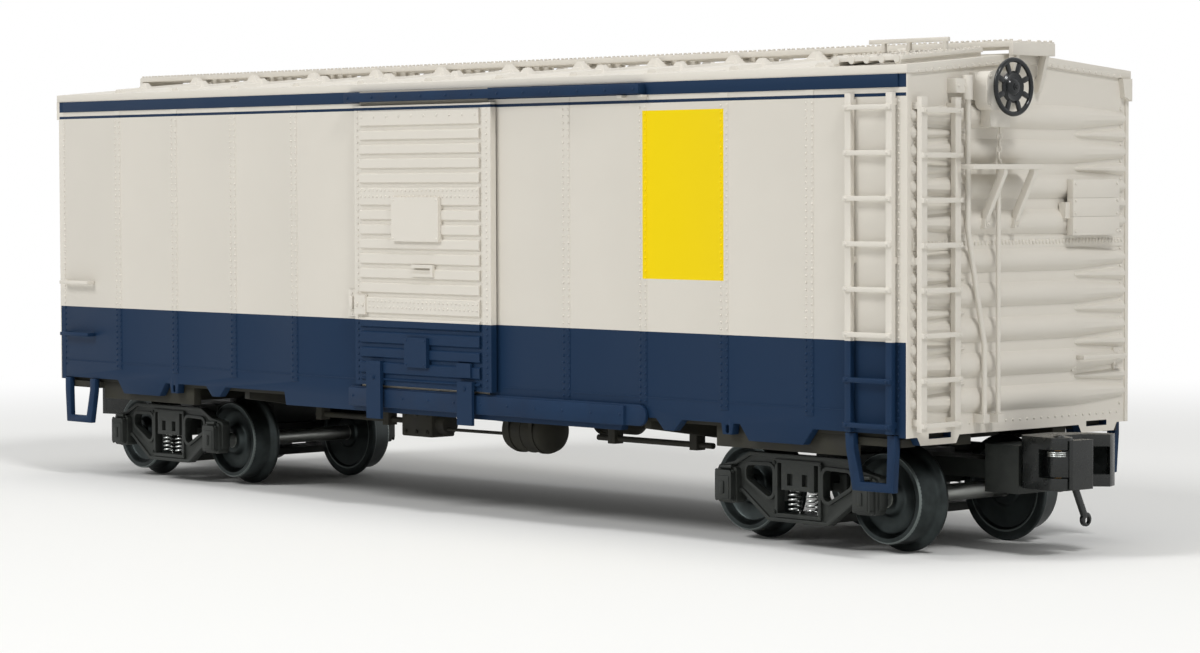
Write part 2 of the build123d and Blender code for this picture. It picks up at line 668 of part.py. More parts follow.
# Trucks, built round their own centre on the floor
def side_frame(y_in):
    """One cast side frame, its inner face at y_in and its rims standing outwards."""
    out = 1 if y_in > 0 else -1
    web = FRAME_OUT - FRAME_IN - RIM_DEPTH
    # half of the outline, from the middle of the top to the middle of the bottom
    half = [(12.5, FRAME_TOP), (16.6, 15.2), (20.8, 14.4), (20.8, 9.0), (19.6, BOX_BOTTOM),
            (16.4, BOX_BOTTOM), (15.2, 10.0), (7.6, FRAME_BOTTOM)]
    with BuildSketch() as face:
        with BuildLine():
            FilletPolyline(half + [(-x, z) for x, z in reversed(half)], radius=0.8, close=True)
        make_face()
        for end in (-1, 1):
            with BuildLine():
                FilletPolyline((end * 13.4, 14.7), (end * 6.5, 14.9), (end * 6.5, 8.4),
                               (end * 13.4, 12.2), radius=1.1, close=True)
            make_face(mode=Mode.SUBTRACT)
        with Locations((0, (SEAT_Z + BOLSTER_TOP) / 2)):
            Rectangle(2 * OPENING_HALF, BOLSTER_TOP - SEAT_Z, mode=Mode.SUBTRACT)
    outside = face.sketch
    with BuildSketch() as rim:
        add(outside)
        offset(outside, amount=-RIM, kind=Kind.INTERSECTION, mode=Mode.SUBTRACT)
    wall = Plane(origin=(0, y_in, 0), x_dir=(1, 0, 0), z_dir=(0, -1, 0))
    with BuildPart() as frame:
        with BuildSketch(wall):
            add(outside)
        extrude(amount=-out * web)
        with BuildSketch(wall.offset(-out * web)):
            add(rim.sketch)
        extrude(amount=-out * RIM_DEPTH)
        for end in (-1, 1):
            box = Plane(origin=(end * AXLE_HALF, y_in, (BOX_TOP + BOX_BOTTOM) / 2), x_dir=(1, 0, 0),
                        z_dir=(0, -1, 0))
            with BuildSketch(box):
                RectangleRounded(2 * BOX_HALF, BOX_TOP - BOX_BOTTOM, 0.8)
            extrude(amount=-out * (FRAME_OUT - FRAME_IN + 0.7))
            with BuildSketch(box.offset(-out * (FRAME_OUT - FRAME_IN + 0.7))):
                RectangleRounded(2 * BOX_HALF - 0.9, BOX_TOP - BOX_BOTTOM - 1.1, 0.6)
            extrude(amount=-out * (JOURNAL_OUT - FRAME_OUT - 0.7))
            hinge = Location((end * AXLE_HALF, y_in + out * (FRAME_OUT - FRAME_IN + 0.8), BOX_TOP), (0, 90, 0))
            with Locations(hinge):
                Cylinder(0.5, 3.0)
    return frame.part


def truck_frame():
    with BuildPart() as frame:
        add(side_frame(FRAME_IN))
        add(side_frame(-FRAME_IN))
        # bolster through both side frames, with two pockets in each end
        block((-BOLSTER_HALF, BOLSTER_HALF), (-FRAME_OUT, FRAME_OUT), (BOLSTER_BOTTOM, BOLSTER_TOP))
        block((-5.0, 5.0), (-14.0, 14.0), (BOLSTER_BOTTOM, 17.0))
        with Locations((0, 0, (BOLSTER_BOTTOM + CENTRE_PLATE_TOP) / 2)):
            Cylinder(5.5, CENTRE_PLATE_TOP - BOLSTER_BOTTOM)
        with Locations([(x, y, 12.6) for x in (-2.0, 1.8) for y in (-FRAME_OUT, FRAME_OUT)]):
            Box(1.4, 1.8, 2.2, mode=Mode.SUBTRACT)
        # spring plank
        block((-4.5, 4.5), (-FRAME_IN, FRAME_IN), (FRAME_BOTTOM, SEAT_Z))
        # brake shoes on a beam, inside the wheels
        for end in (-1, 1):
            x = sorted((end * 5.0, end * 7.0))
            block(x, (-20.0, 20.0), (BOLSTER_BOTTOM, 12.2))
            for side in (-1, 1):
                shoe_x = sorted((end * 6.6, end * 8.4))
                shoe_y = sorted((side * 16.0, side * 20.0))
                block(shoe_x, shoe_y, (8.0, 14.0))
        # arm to the coupler, over the axle, ending in the draft gear's box
        block((4.0, ARM_END - TRUCK_X), (-4.2, 4.2), (13.6, 17.0))
        block((DRAFT_BOX_X - TRUCK_X, ARM_END - TRUCK_X), (-DRAFT_BOX_HALF, DRAFT_BOX_HALF), (11.2, 20.0))
        # journals
        with Locations([Location((end * AXLE_HALF, 0, AXLE_Z), (90, 0, 0)) for end in (-1, 1)]):
            Cylinder(STUB_R + STUB_CLEAR, 2 * (FRAME_OUT + 0.2), mode=Mode.SUBTRACT)
    return frame.part


def truck_springs():
    pitch = (BOLSTER_BOTTOM - SEAT_Z) / COILS
    with BuildPart() as springs:
        with BuildSketch(Plane.XZ):
            with BuildLine():
                outline = [(0.0, SEAT_Z)]
                for coil in range(COILS):
                    low = SEAT_Z + coil * pitch
                    outline += [(SPRING_CORE, low), (SPRING_R, low + pitch / 2)]
                outline += [(SPRING_CORE, BOLSTER_BOTTOM), (0.0, BOLSTER_BOTTOM)]
                Polyline(outline, close=True)
            make_face()
        revolve(axis=Axis.Z)
    spring_y = FRAME_OUT - SPRING_R - 0.1
    with BuildPart() as group:
        for x in (-SPRING_X, SPRING_X):
            for y in (-spring_y, spring_y):
                add(springs.part.moved(Location((x, y, 0))))
    return group.part


def wheelset():
    """Two flanged wheels on an axle along Y, round the origin."""
    with BuildPart() as wheels:
        with BuildSketch(Plane.XY):
            with BuildLine():
                half = [(0, FRAME_OUT - 0.5), (STUB_R, FRAME_OUT - 0.5), (STUB_R, 21.8), (1.6, 21.8),
                        (1.6, WHEEL_FACE), (2.8, WHEEL_FACE), (3.4, WHEEL_FACE - 1.6),
                        (6.4, WHEEL_FACE - 1.6), (7.2, WHEEL_FACE), (TREAD_R - 0.25, WHEEL_FACE),
                        (TREAD_R, FLANGE_Y + 1.0), (FLANGE_R - 0.5, FLANGE_Y + 0.6), (FLANGE_R, FLANGE_Y + 0.1),
                        (FLANGE_R, FLANGE_Y - 0.2),
                        (FLANGE_R - 0.4, WHEEL_BACK), (1.6, WHEEL_BACK), (1.6, 0), (0, 0)]
                Polyline(half, close=True)
            make_face()
        revolve(axis=Axis.Y)
        mirror(about=Plane.XZ)
    return wheels.part


# Coupler head, seen from above, in the car's frame
def coupler_head():
    """Two plates joined by a back wall and the guard arm, with the pin's lugs on one side."""
    with BuildPart() as head:
        with BuildSketch(Plane.XY.offset(COUPLER_BOTTOM)):
            with BuildLine():
                Polyline((ARM_END, -4.2), (138.2, -5.9), (PIN_X, PIN_Y - LUG_R), (PIN_X, PIN_Y + LUG_R),
                         (142.7, 0.4), (143.5, 4.2), (147.3, 7.6), (146.3, 10.2), (141.5, 8.8),
                         (138.2, 5.9), (ARM_END, 4.2), close=True)
            make_face()
            with Locations((PIN_X, PIN_Y)):
                Circle(LUG_R)
        extrude(amount=COUPLER_TOP - COUPLER_BOTTOM)
        # throat between the plates, open to the front and to the pin's side
        with BuildSketch(Plane.XY.offset(COUPLER_BOTTOM + LUG)):
            with BuildLine():
                Polyline((THROAT_X, -8.0), (150.0, -8.0), (150.0, 6.4), (146.7, 8.9), (THROAT_X, 6.4), close=True)
            make_face()
        extrude(amount=COUPLER_TOP - COUPLER_BOTTOM - 2 * LUG, mode=Mode.SUBTRACT)
        # rim that closes the guard arm's tip
        with BuildSketch(Plane.XY.offset(COUPLER_BOTTOM + 0.6)):
            with BuildLine():
                Polyline((145.9, 8.4), (147.3, 7.6), (146.3, 10.2), (145.1, 9.9), close=True)
            make_face()
        extrude(amount=COUPLER_TOP - COUPLER_BOTTOM - 1.2)
        with Locations((PIN_X, PIN_Y, (COUPLER_TOP + COUPLER_BOTTOM) / 2)):
            Cylinder(PIN_R, COUPLER_TOP - COUPLER_BOTTOM + 1.0, mode=Mode.SUBTRACT)
    return head.part


def knuckle():
    """The hinged jaw: a hub between the lugs, and a full-height nose in front of them."""
    low = COUPLER_BOTTOM + LUG + KNUCKLE_CLEAR
    high = COUPLER_TOP - LUG - KNUCKLE_CLEAR
    middle = (COUPLER_TOP + COUPLER_BOTTOM) / 2
    with BuildPart() as jaw:
        with BuildSketch(Plane.XY.offset(COUPLER_BOTTOM + 0.1)):
            with BuildLine():
                FilletPolyline((146.0, -4.6), (148.3, -4.6), (148.5, 1.6), (146.3, 1.6), (145.7, -0.4),
                               radius=0.5, close=True)
            make_face()
        extrude(amount=COUPLER_TOP - COUPLER_BOTTOM - 0.6)
        with Locations((PIN_X, PIN_Y, middle)):
            Cylinder(LUG_R + KNUCKLE_CLEAR, COUPLER_TOP - COUPLER_BOTTOM, mode=Mode.SUBTRACT)
        with BuildSketch(Plane.XY.offset(low)):
            with Locations((PIN_X, PIN_Y)):
                Circle(LUG_R - 0.4)
            with BuildLine():
                Polyline((PIN_X - 1.4, PIN_Y + 1.2), (PIN_X + 1.6, PIN_Y - 1.0), (147.8, -4.0),
                         (147.9, 0.8), (146.2, 0.8), close=True)
            make_face()
        extrude(amount=high - low)
        with Locations((PIN_X, PIN_Y, middle)):
            Cylinder(PIN_R + PIN_CLEAR, COUPLER_TOP - COUPLER_BOTTOM, mode=Mode.SUBTRACT)
    return jaw.part


def knuckle_pin():
    with BuildPart() as pin:
        with BuildSketch(Plane.XY.offset(COUPLER_BOTTOM)):
            with Locations((PIN_X, PIN_Y)):
                Circle(PIN_R)
        extrude(amount=COUPLER_TOP - COUPLER_BOTTOM)
    return pin.part


def uncoupling_lever():
    with BuildPart() as lever:
        with BuildSketch(Plane.YZ.offset(141.5)):
            with BuildLine():
                Polyline((3.4, 12.5), (4.8, 12.5), (7.6, 7.0), (6.5, 6.4), close=True)
            make_face()
            with Locations((7.3, 6.2)):
                Circle(1.3)
            with Locations((7.5, 6.0)):
                Circle(0.6, mode=Mode.SUBTRACT)
        extrude(amount=0.8)
    return lever.part


brake_truck = Location((TRUCK_X, 0, 0))
near_axle = Location((TRUCK_X - AXLE_HALF, 0, AXLE_Z))
far_axle = Location((TRUCK_X + AXLE_HALF, 0, AXLE_Z))
truck_pieces = (
    ("truck_frame", truck_frame().moved(brake_truck)),
    ("truck_springs", truck_springs().moved(brake_truck)),
    ("wheelset_inner", wheelset().moved(near_axle)),
    ("wheelset_outer", wheelset().moved(far_axle)),
    ("coupler_head", coupler_head()),
    ("coupler_knuckle", knuckle()),
    ("coupler_pin", knuckle_pin()),
    ("uncoupling_lever", uncoupling_lever()),
)
for name, part in truck_pieces:
    keep(name + "_brake", part)
    keep(name + "_plain", half_turn(part))

whole = Compound(children=list(pieces.values())).bounding_box()
print(len(pieces), "pieces", whole.min, whole.max)
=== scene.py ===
import bmesh
import bpy
import json
import math
from mathutils import Matrix, Vector


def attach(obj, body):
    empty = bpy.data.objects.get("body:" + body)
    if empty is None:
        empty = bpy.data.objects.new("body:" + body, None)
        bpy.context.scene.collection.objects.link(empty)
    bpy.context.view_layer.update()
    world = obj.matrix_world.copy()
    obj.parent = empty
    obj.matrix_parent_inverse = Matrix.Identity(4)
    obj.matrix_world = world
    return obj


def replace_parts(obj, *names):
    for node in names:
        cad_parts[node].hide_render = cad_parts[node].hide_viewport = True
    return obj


# Looks of an O gauge model boxcar. Shapes are written in millimetres and turned to metres by MM.
# +X is the end with the brake wheel and -Y the side whose door slides to +X.
MM = 0.001
HALF_TURN = Matrix.Rotation(math.pi, 4, "Z")
ALONG_X = Matrix.Rotation(math.pi / 2, 4, "Y")
UPRIGHT = Matrix.Rotation(math.pi / 2, 4, "X")
OFF_SIDE = (0, -1, 0)
OFF_END = (1, 0, 0)

# Body
SIDE_Y = 31.0
END_X = 132.5
LAP_X = (-109.0, -87.1, -65.2, -43.4, 43.4, 65.2, 87.1, 109.0)
LAP_FACE = 31.15
LAP_ROWS = (-0.75, 0.75)
CORNER_RIVET_X = 130.7
RIVET_PITCH = 1.3
SILL_SEAM_X = ((-132.0, -22.4), (24.6, 118.6))
SILL_SEAM_Z = 26.9
SILL_SEAM_HALF = 0.12
SILL_SEAM_PROUD = 0.07
SILL_SEAM_SUNK = 0.2

# Livery
NAVY_TOP = 39.45
STRIPE_Z = (82.95, 83.55)
FASCIA_Z = (84.5, 86.9)
PANEL_X = (65.2, 87.1)
PANEL_Z = (49.5, 81.5)
# the stripe is sprayed on faces up to SHEETS_OUT, and by the door DOOR_OUT further
SHEETS_OUT = 31.3
DOOR_OUT = 2.0
DOOR_ZONE_X = 45.0
# the walls are bare from SPRAY_DEPTH inwards, and the doorways BACKS_OUT further out
SPRAY_DEPTH = 1.75
BACKS_OUT = 2.2
DOORWAY_HALF = 20.4
INSIDE_Z = (24.0, 86.9)

# Doors
DOOR_PLATE_Y = 32.25
DOOR_RIB_Y = 32.75
DOOR_BOARD_Y = 33.5
# columns: along the car, how far it stands out, height
HASP_PLATES = (
    ((-24.4, -21.6), 0.5, (39.9, 45.6)),
    ((-23.6, -22.4), 1.1, (41.4, 44.2)),
)
BRACKET_X = (60.2, 66.0)
BRACKET_HALF = 0.7
BRACKET_OUT = 32.6
BRACKET_Z = (84.0, 84.7)

# Ends
END_SEAM_Z = 56.8
SEAM_FACE_X = 132.7
ROOF_END_X = 133.0
GABLE_DROP = 1.35
CORNER_BOLT_Y = 28.8
GRAB_FOOT_Y = (14.9, 27.1)
GRAB_FOOT_HALF = 0.7
GRAB_FOOT_OUT = 0.6
GRAB_FOOT_Z = (32.6, 36.6)
PLANK_X = (133.75, 135.2)
PLANK_Y = (11.75, 25.3)
PLANK_Z = (57.85, 61.3, 64.75)
PLANK_HIGH = 3.42
PLANK_BRACKET = ((132.9, 134.4), (10.5, 11.9), (61.0, 64.0))
END_TOOTH = (0.28, 0.3, 0.5)

# Roof
EAVE_TOP = 88.5
RIDGE_TOP = 91.2
ROOF_HALF = 31.4
ROOF_FALL = math.atan2(RIDGE_TOP - EAVE_TOP, ROOF_HALF)
SEAM_PITCH = 22.1
BOARD_TOP = 93.2
BOARD_END = 135.5
LATERAL_X = (114.0, 131.3)
LATERAL_TOP = 1.5
LATERAL_FOOT_Y = (28.2, 30.75)
LATERAL_FOOT_TOP = 1.05
LATERAL_FOOT_R = 0.75
GRATING_TOOTH = (0.55, 0.5, 0.32)
LATERAL_TOOTH = (0.5, 0.55, 0.35)

# Hand brake
BRAKE_Y = -10.0
WHEEL_X = 138.6
WHEEL_Z = 84.7
CHAIN_Y = -9.2
CHAIN_Z = (71.2, 77.2)
CHAIN_LEAN = 0.4
LINK_R = 0.48
LINK_WIRE = 0.19
LINK_STRETCH = (0.9, 1.35, 0.9)
LINK_PITCH = 1.15
ROD_X = 135.1
ROD_Z = (24.6, 70.9)
ROD_R = 0.45
BRACE_Y = (-11.6, -3.3)
BRACE_FACE = 134.6
# outline of the wheel's dish: radius, height
WHEEL_DISH = (
    (0, 0.1), (2.8, 0.25), (2.85, 0.6), (2.5, 0.95), (2.2, 0.8), (1.6, 0.75), (1.25, 1.1), (1.0, 1.2),
    (0, 1.2),
)
RIM_R = 4.84
RIM_WIRE = 0.45
RIM_Z = 0.66
SPOKES = 8
SPOKE_MIDDLE = (3.7, 0, 0.3)
SPOKE_SIZE = (2.1, 0.95, 0.55)

# Trucks
TRUCK_X = 99.5
AXLE_HALF = 17.7
AXLE_Z = 10.1
BRIGHT_R = 1.72
# radii of the band on the wheels' outer edge that a painted highlight lightens
PAINTED_HIGHLIGHT_RIM = (8.1, 8.42)
TOOL_MARK_PITCH = 0.3
TOOL_MARK_DEPTH = 0.003
# outline of one wheel and its half of the axle: radius, place along the axle
WHEEL_OUTLINE = (
    (1.6, 13.4), (3.2, 13.4), (3.6, 13.8), (7.6, 13.8), (8.0, 13.4), (9.6, 13.4), (9.95, 13.55),
    (10.1, 13.9), (10.08, 14.15), (9.9, 14.4), (9.3, 14.75), (8.8, 14.95), (8.6, 15.3), (8.42, 19.2),
    (8.2, 19.5), (7.35, 19.5), (7.05, 19.2), (6.7, 18.2), (6.3, 17.9), (3.7, 17.9), (3.3, 18.2),
    (2.95, 19.3), (2.65, 19.5), (1.6, 19.5), (1.6, 21.8), (1.0, 21.8), (1.0, 23.8), (0, 23.8),
)
SPRING_X = 2.3
SPRING_Y = 22.5
SPRING_Z = (6.2, 10.6)
SPRING_R = 1.2
SPRING_WIRE = 0.2
COILS = 4
COIL_STEPS = 16
JOURNAL_OUT = 26.2
# columns: half width of a journal box lid, how far its faces are from JOURNAL_OUT, height
LID_PLATES = (
    (1.7, (-0.2, 0.2), (8.2, 12.6)),
    (0.5, (0.1, 0.5), (9.2, 11.6)),
)

# Couplers
PIN = (145.2, -4.3)
COUPLER_TOP = 22.0
COUPLER_FOOT = 12.5
HUB_R = 2.06
KNUCKLE_WIRE = 0.14
KNUCKLE_TURNS_Z = (18.7, 19.02, 19.34)

# Underneath
TANK = (10.5, -10.0, 16.6)
# outlines of half the tank and of a strap: radius, place along the tank
HALF_TANK = ((4.68, 0.15), (4.55, 0.2), (4.55, 4.9), (4.25, 5.7), (3.3, 6.5), (1.5, 6.95), (0, 7.0))
TANK_STRAP = ((4.5, -0.55), (4.75, -0.55), (4.75, 0.55), (4.5, 0.55))
STRAP_OFFSET = 3.6
HANGER_HALF = 0.55
HANGER_Y = (-14.8, -13.9)
HANGER_TOP = 22.2
# columns: start and end of a pipe, radius
PIPES = (
    ((-112.0, 14.5, 20.6), (112.0, 14.5, 20.6), 0.45),
    ((-17.5, -10.4, 18.6), (3.8, -10.4, 18.6), 0.45),
    ((-17.5, -12.8, 15.6), (4.2, -11.6, 15.6), 0.35),
)

# Camera and light, in metres and degrees
CAMERA_PLACE = (0.5324, -0.4746, 0.06795)
CAMERA_TURN, CAMERA_RISE, CAMERA_ROLL = 47.22, 2.45, -0.18
CAMERA_LENS, CAMERA_SENSOR = 101.28, 36
LIGHTS_AIM = (0, 0, 0.05)
WORLD_STRENGTH = 0.38
FLOOR_RADIUS = 3.0
FLOOR_FADE = (0.2, 0.5)
# columns: name, place, size, power
LIGHTS = (
    ("softbox_left", (-0.3, -1.05, 0.95), 0.5, 8.1),
    ("softbox_right", (0.95, -0.3, 1.1), 0.3, 7.0),
    ("softbox_top", (0.1, 0.1, 1.4), 0.8, 2.5),
)

# Corners sharper than these stay sharp in the shading, of new pieces and of CAD nodes
SHARP_CORNER = math.radians(40)
SHARP_CAD_CORNER = math.radians(30)
# columns: width of the softened edges of CAD nodes, starts of the nodes' names
SOFT_EDGES = (
    (0.3, ("truck_frame", "brake_housing", "control_valve")),
    (0.22, ("coupler_knuckle",)),
    (0.2, ("coupler_head",)),
    (0.15, ("uncoupling_lever", "stirrups", "retainer_valve", "door_track", "brake_cylinder")),
    (0.12, ("ladder", "grab_irons", "brake_step", "placards", "underframe", "roof")),
    (0.1, ("running_board", "lateral_board", "brake_rods", "coupler_pin")),
    (0.08, ("side_",)),
)

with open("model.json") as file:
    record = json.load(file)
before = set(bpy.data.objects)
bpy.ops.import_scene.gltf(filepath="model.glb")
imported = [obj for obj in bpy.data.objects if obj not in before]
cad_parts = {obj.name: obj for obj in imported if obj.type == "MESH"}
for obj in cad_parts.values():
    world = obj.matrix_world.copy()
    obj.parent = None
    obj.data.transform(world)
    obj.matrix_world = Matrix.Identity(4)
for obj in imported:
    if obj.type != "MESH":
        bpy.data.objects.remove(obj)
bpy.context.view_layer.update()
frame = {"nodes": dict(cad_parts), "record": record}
nodes = frame["nodes"]


def linear(hex_code):
    """An sRGB hex colour as the linear colour that a shader takes."""
    channels = [int(hex_code[i:i + 2], 16) / 255 for i in (1, 3, 5)]
    return [c / 12.92 if c <= 0.04045 else ((c + 0.055) / 1.055) ** 2.4 for c in channels] + [1.0]


def add_node(tree, kind, links=None, **settings):
    """Add a node. links gives its inputs: a socket, a node for its first output, or a plain value."""
    node = tree.nodes.new(kind)
    for name, value in settings.items():
        setattr(node, name, value)
    for name, value in (links or {}).items():
        if isinstance(value, bpy.types.Node):
            value = value.outputs[0]
        if isinstance(value, bpy.types.NodeSocket):
            tree.links.new(value, node.inputs[name])
        else:
            node.inputs[name].default_value = value
    return node


def new_material(name, metallic=0.0, roughness=0.5, specular=0.5):
    """A material with its shader and object coordinates ready for a pattern."""
    material = bpy.data.materials.new(name)
    material.use_nodes = True
    tree = material.node_tree
    shader = tree.nodes["Principled BSDF"]
    shader.inputs["Metallic"].default_value = metallic
    shader.inputs["Roughness"].default_value = roughness
    shader.inputs["IOR"].default_value = 1.5
    shader.inputs["Specular IOR Level"].default_value = specular
    place = add_node(tree, "ShaderNodeTexCoord").outputs["Object"]
    return material, tree, shader, place


def lay_coats(tree, colour, coats):
    """Lay coats over a colour. columns: where the coat is, its hex colour. Returns the colour."""
    for where, hex_code in coats:
        # inputs 0, 6 and 7 of a colour mix are its share and its two colours, and output 2 is the result
        mixed = {0: where, 6: colour, 7: linear(hex_code)}
        colour = add_node(tree, "ShaderNodeMix", mixed, data_type="RGBA").outputs[2]
    return colour


def blotches(tree, shader, place, size_mm, colours, roughness, detail=2.0):
    """Uneven colour and gloss in patches about size_mm across. Returns the colour."""
    noise = add_node(tree, "ShaderNodeTexNoise", {"Vector": place, "Scale": 1000 / size_mm, "Detail": detail})
    spread = {"Value": noise.outputs["Fac"], "From Min": 0.3, "From Max": 0.7}
    gloss = add_node(tree, "ShaderNodeMapRange", {**spread, "To Min": roughness[0], "To Max": roughness[1]})
    tree.links.new(gloss.outputs["Result"], shader.inputs["Roughness"])
    share = add_node(tree, "ShaderNodeMapRange", spread)
    dark, light = colours
    return lay_coats(tree, linear(dark), ((share, light),))


def skin(tree, shader, place, size_mm, depth_mm, detail=2.0):
    """A fine uneven surface, with lumps of size_mm and depth_mm."""
    noise = add_node(tree, "ShaderNodeTexNoise", {"Vector": place, "Scale": 1000 / size_mm, "Detail": detail})
    bump = add_node(tree, "ShaderNodeBump", {"Height": noise.outputs["Fac"], "Distance": depth_mm * MM})
    tree.links.new(bump.outputs["Normal"], shader.inputs["Normal"])


def band(tree, value, limits):
    """1 where a coordinate lies between two limits in millimetres."""
    middle = sum(limits) / 2 * MM
    half = (limits[1] - limits[0]) / 2 * MM
    return add_node(tree, "ShaderNodeMath", {0: value, 1: middle, 2: half}, operation="COMPARE")


def on_livery_lines(tree, z, far_x, far_y):
    """1 on the navy band, the fascia and the stripe, on the sides only."""
    low = add_node(tree, "ShaderNodeMath", {0: z, 1: NAVY_TOP * MM}, operation="LESS_THAN")
    # the stripe keeps to the sheets and the door, and leaves the ladders out
    by_door = add_node(tree, "ShaderNodeMath", {0: far_x, 1: DOOR_ZONE_X * MM}, operation="LESS_THAN")
    reach = add_node(tree, "ShaderNodeMath", {0: by_door, 1: DOOR_OUT * MM, 2: SHEETS_OUT * MM},
                     operation="MULTIPLY_ADD")
    flat = add_node(tree, "ShaderNodeMath", {0: far_y, 1: reach}, operation="LESS_THAN")
    stripe = add_node(tree, "ShaderNodeMath", {0: band(tree, z, STRIPE_Z), 1: flat}, operation="MULTIPLY")
    lines = add_node(tree, "ShaderNodeMath", {0: low, 1: stripe}, operation="ADD")
    lines = add_node(tree, "ShaderNodeMath", {0: lines, 1: band(tree, z, FASCIA_Z)}, operation="ADD")
    on_side = add_node(tree, "ShaderNodeMath", {0: far_x, 1: (END_X - 0.02) * MM}, operation="LESS_THAN")
    return add_node(tree, "ShaderNodeMath", {0: lines, 1: on_side}, operation="MULTIPLY", use_clamp=True)


def on_panel(tree, axes, far_y):
    """1 on the plain yellow panel, right of the door on each side."""
    facing = add_node(tree, "ShaderNodeMath", {0: axes["Y"]}, operation="SIGN")
    along = add_node(tree, "ShaderNodeMath", {0: axes["X"], 1: facing}, operation="MULTIPLY")
    across = band(tree, along, (-PANEL_X[1], -PANEL_X[0]))
    outside = add_node(tree, "ShaderNodeMath", {0: far_y, 1: (SIDE_Y - 0.5) * MM}, operation="GREATER_THAN")
    wide = add_node(tree, "ShaderNodeMath", {0: across, 1: outside}, operation="MULTIPLY")
    high = band(tree, axes["Z"], PANEL_Z)
    return add_node(tree, "ShaderNodeMath", {0: wide, 1: high}, operation="MULTIPLY")


def on_inside(tree, z, far_x, far_y):
    """1 on the inner walls and on the doors' backs in the doorways, where the spray doesn't reach."""
    doorway = add_node(tree, "ShaderNodeMath", {0: far_x, 1: DOORWAY_HALF * MM}, operation="LESS_THAN")
    depth = add_node(tree, "ShaderNodeMath", {0: doorway, 1: BACKS_OUT * MM, 2: (SIDE_Y - SPRAY_DEPTH) * MM},
                     operation="MULTIPLY_ADD")
    behind = add_node(tree, "ShaderNodeMath", {0: far_y, 1: depth}, operation="LESS_THAN")
    between = add_node(tree, "ShaderNodeMath", {0: far_x, 1: (END_X - SPRAY_DEPTH) * MM},
                       operation="LESS_THAN")
    walls = add_node(tree, "ShaderNodeMath", {0: behind, 1: between}, operation="MULTIPLY")
    return add_node(tree, "ShaderNodeMath", {0: walls, 1: band(tree, z, INSIDE_Z)}, operation="MULTIPLY")


# Sprayed satin enamel over moulded ABS: even colour, faint orange peel, soft sheen, masked edges
def make_body_paint():
    material, tree, shader, place = new_material("satin enamel sprayed on moulded ABS, masked livery",
                                                 roughness=0.5, specular=0.14)
    axes = add_node(tree, "ShaderNodeSeparateXYZ", {"Vector": place}).outputs
    far_x = add_node(tree, "ShaderNodeMath", {0: axes["X"]}, operation="ABSOLUTE")
    far_y = add_node(tree, "ShaderNodeMath", {0: axes["Y"]}, operation="ABSOLUTE")
    cream = blotches(tree, shader, place, 14.0, ("#D9D4CA", "#DBD6CC"), (0.5, 0.56))
    # navy lines, yellow panel, and inside the bare moulding
    colour = lay_coats(tree, cream, (
        (on_livery_lines(tree, axes["Z"], far_x, far_y), "#162D48"),
        (on_panel(tree, axes, far_y), "#F4D600"),
        (on_inside(tree, axes["Z"], far_x, far_y), "#B4AEA1"),
    ))
    tree.links.new(colour, shader.inputs["Base Color"])
    skin(tree, shader, place, 0.5, 0.004, detail=1.0)
    return material


# A plain finish: blotches of two colours and a fine skin
def make_finish(name, size_mm, colours, roughness, skin_mm, detail=2.0, **shader_values):
    material, tree, shader, place = new_material(name, **shader_values)
    colour = blotches(tree, shader, place, size_mm, colours, roughness, detail)
    tree.links.new(colour, shader.inputs["Base Color"])
    skin(tree, shader, place, *skin_mm)
    return material


# Turned steel: wheels blackened after turning, axles left bright, tool marks in rings
def make_turned_steel():
    material, tree, shader, place = new_material("turned steel, wheels blackened",
                                                 metallic=1.0, roughness=0.35)
    axes = add_node(tree, "ShaderNodeSeparateXYZ", {"Vector": place}).outputs
    # distance from the nearest axle's middle line
    x = axes["X"]
    for middle in (TRUCK_X, AXLE_HALF):
        x = add_node(tree, "ShaderNodeMath", {0: x}, operation="ABSOLUTE")
        x = add_node(tree, "ShaderNodeMath", {0: x, 1: middle * MM}, operation="SUBTRACT")
    z = add_node(tree, "ShaderNodeMath", {0: axes["Z"], 1: AXLE_Z * MM}, operation="SUBTRACT")
    spread = add_node(tree, "ShaderNodeCombineXYZ", {"X": x, "Y": z})
    radius = add_node(tree, "ShaderNodeVectorMath", {0: spread}, operation="LENGTH").outputs["Value"]
    dark = blotches(tree, shader, place, 4.0, ("#2E3232", "#404646"), (0.36, 0.5), detail=3.0)
    # the axle is bright, and a painted highlight lightens the tread's outer edge
    bright = add_node(tree, "ShaderNodeMath", {0: radius, 1: BRIGHT_R * MM}, operation="LESS_THAN")
    edge = band(tree, radius, PAINTED_HIGHLIGHT_RIM)
    painted_rim_highlight = add_node(tree, "ShaderNodeMath", {0: edge, 1: 0.7}, operation="MULTIPLY")
    colour = lay_coats(tree, dark, ((bright, "#A6A8A4"), (painted_rim_highlight, "#7C8482")))
    tree.links.new(colour, shader.inputs["Base Color"])
    wave = 2 * math.pi / (TOOL_MARK_PITCH * MM)
    turns = add_node(tree, "ShaderNodeMath", {0: radius, 1: wave}, operation="MULTIPLY")
    rings = add_node(tree, "ShaderNodeMath", {0: turns}, operation="SINE")
    marks = {"Height": rings, "Distance": TOOL_MARK_DEPTH * MM, "Strength": 0.6}
    bump = add_node(tree, "ShaderNodeBump", marks)
    tree.links.new(bump.outputs["Normal"], shader.inputs["Normal"])
    return material


body_paint = make_body_paint()
# The livery's navy on the parts that are sprayed by themselves
navy_paint = make_finish("satin navy enamel sprayed on ABS", 6.0, ("#152A44", "#18304C"), (0.48, 0.56),
                         (0.5, 0.004), specular=0.14)
# Zinc castings, tumbled and blackened: greenish charcoal with a fine cast skin
cast_zinc = make_finish("blackened die-cast zinc", 3.5, ("#262927", "#343734"), (0.4, 0.6),
                        (0.35, 0.02), detail=4.0, metallic=0.25, specular=0.35)
# The couplers are dipped after casting: nearly black, smoother and glossier than the trucks
coupler_black = make_finish("oiled black zinc casting", 3.0, ("#111413", "#191C1B"), (0.2, 0.34),
                            (0.3, 0.012), detail=3.0, metallic=0.15, specular=0.5)
turned_steel = make_turned_steel()
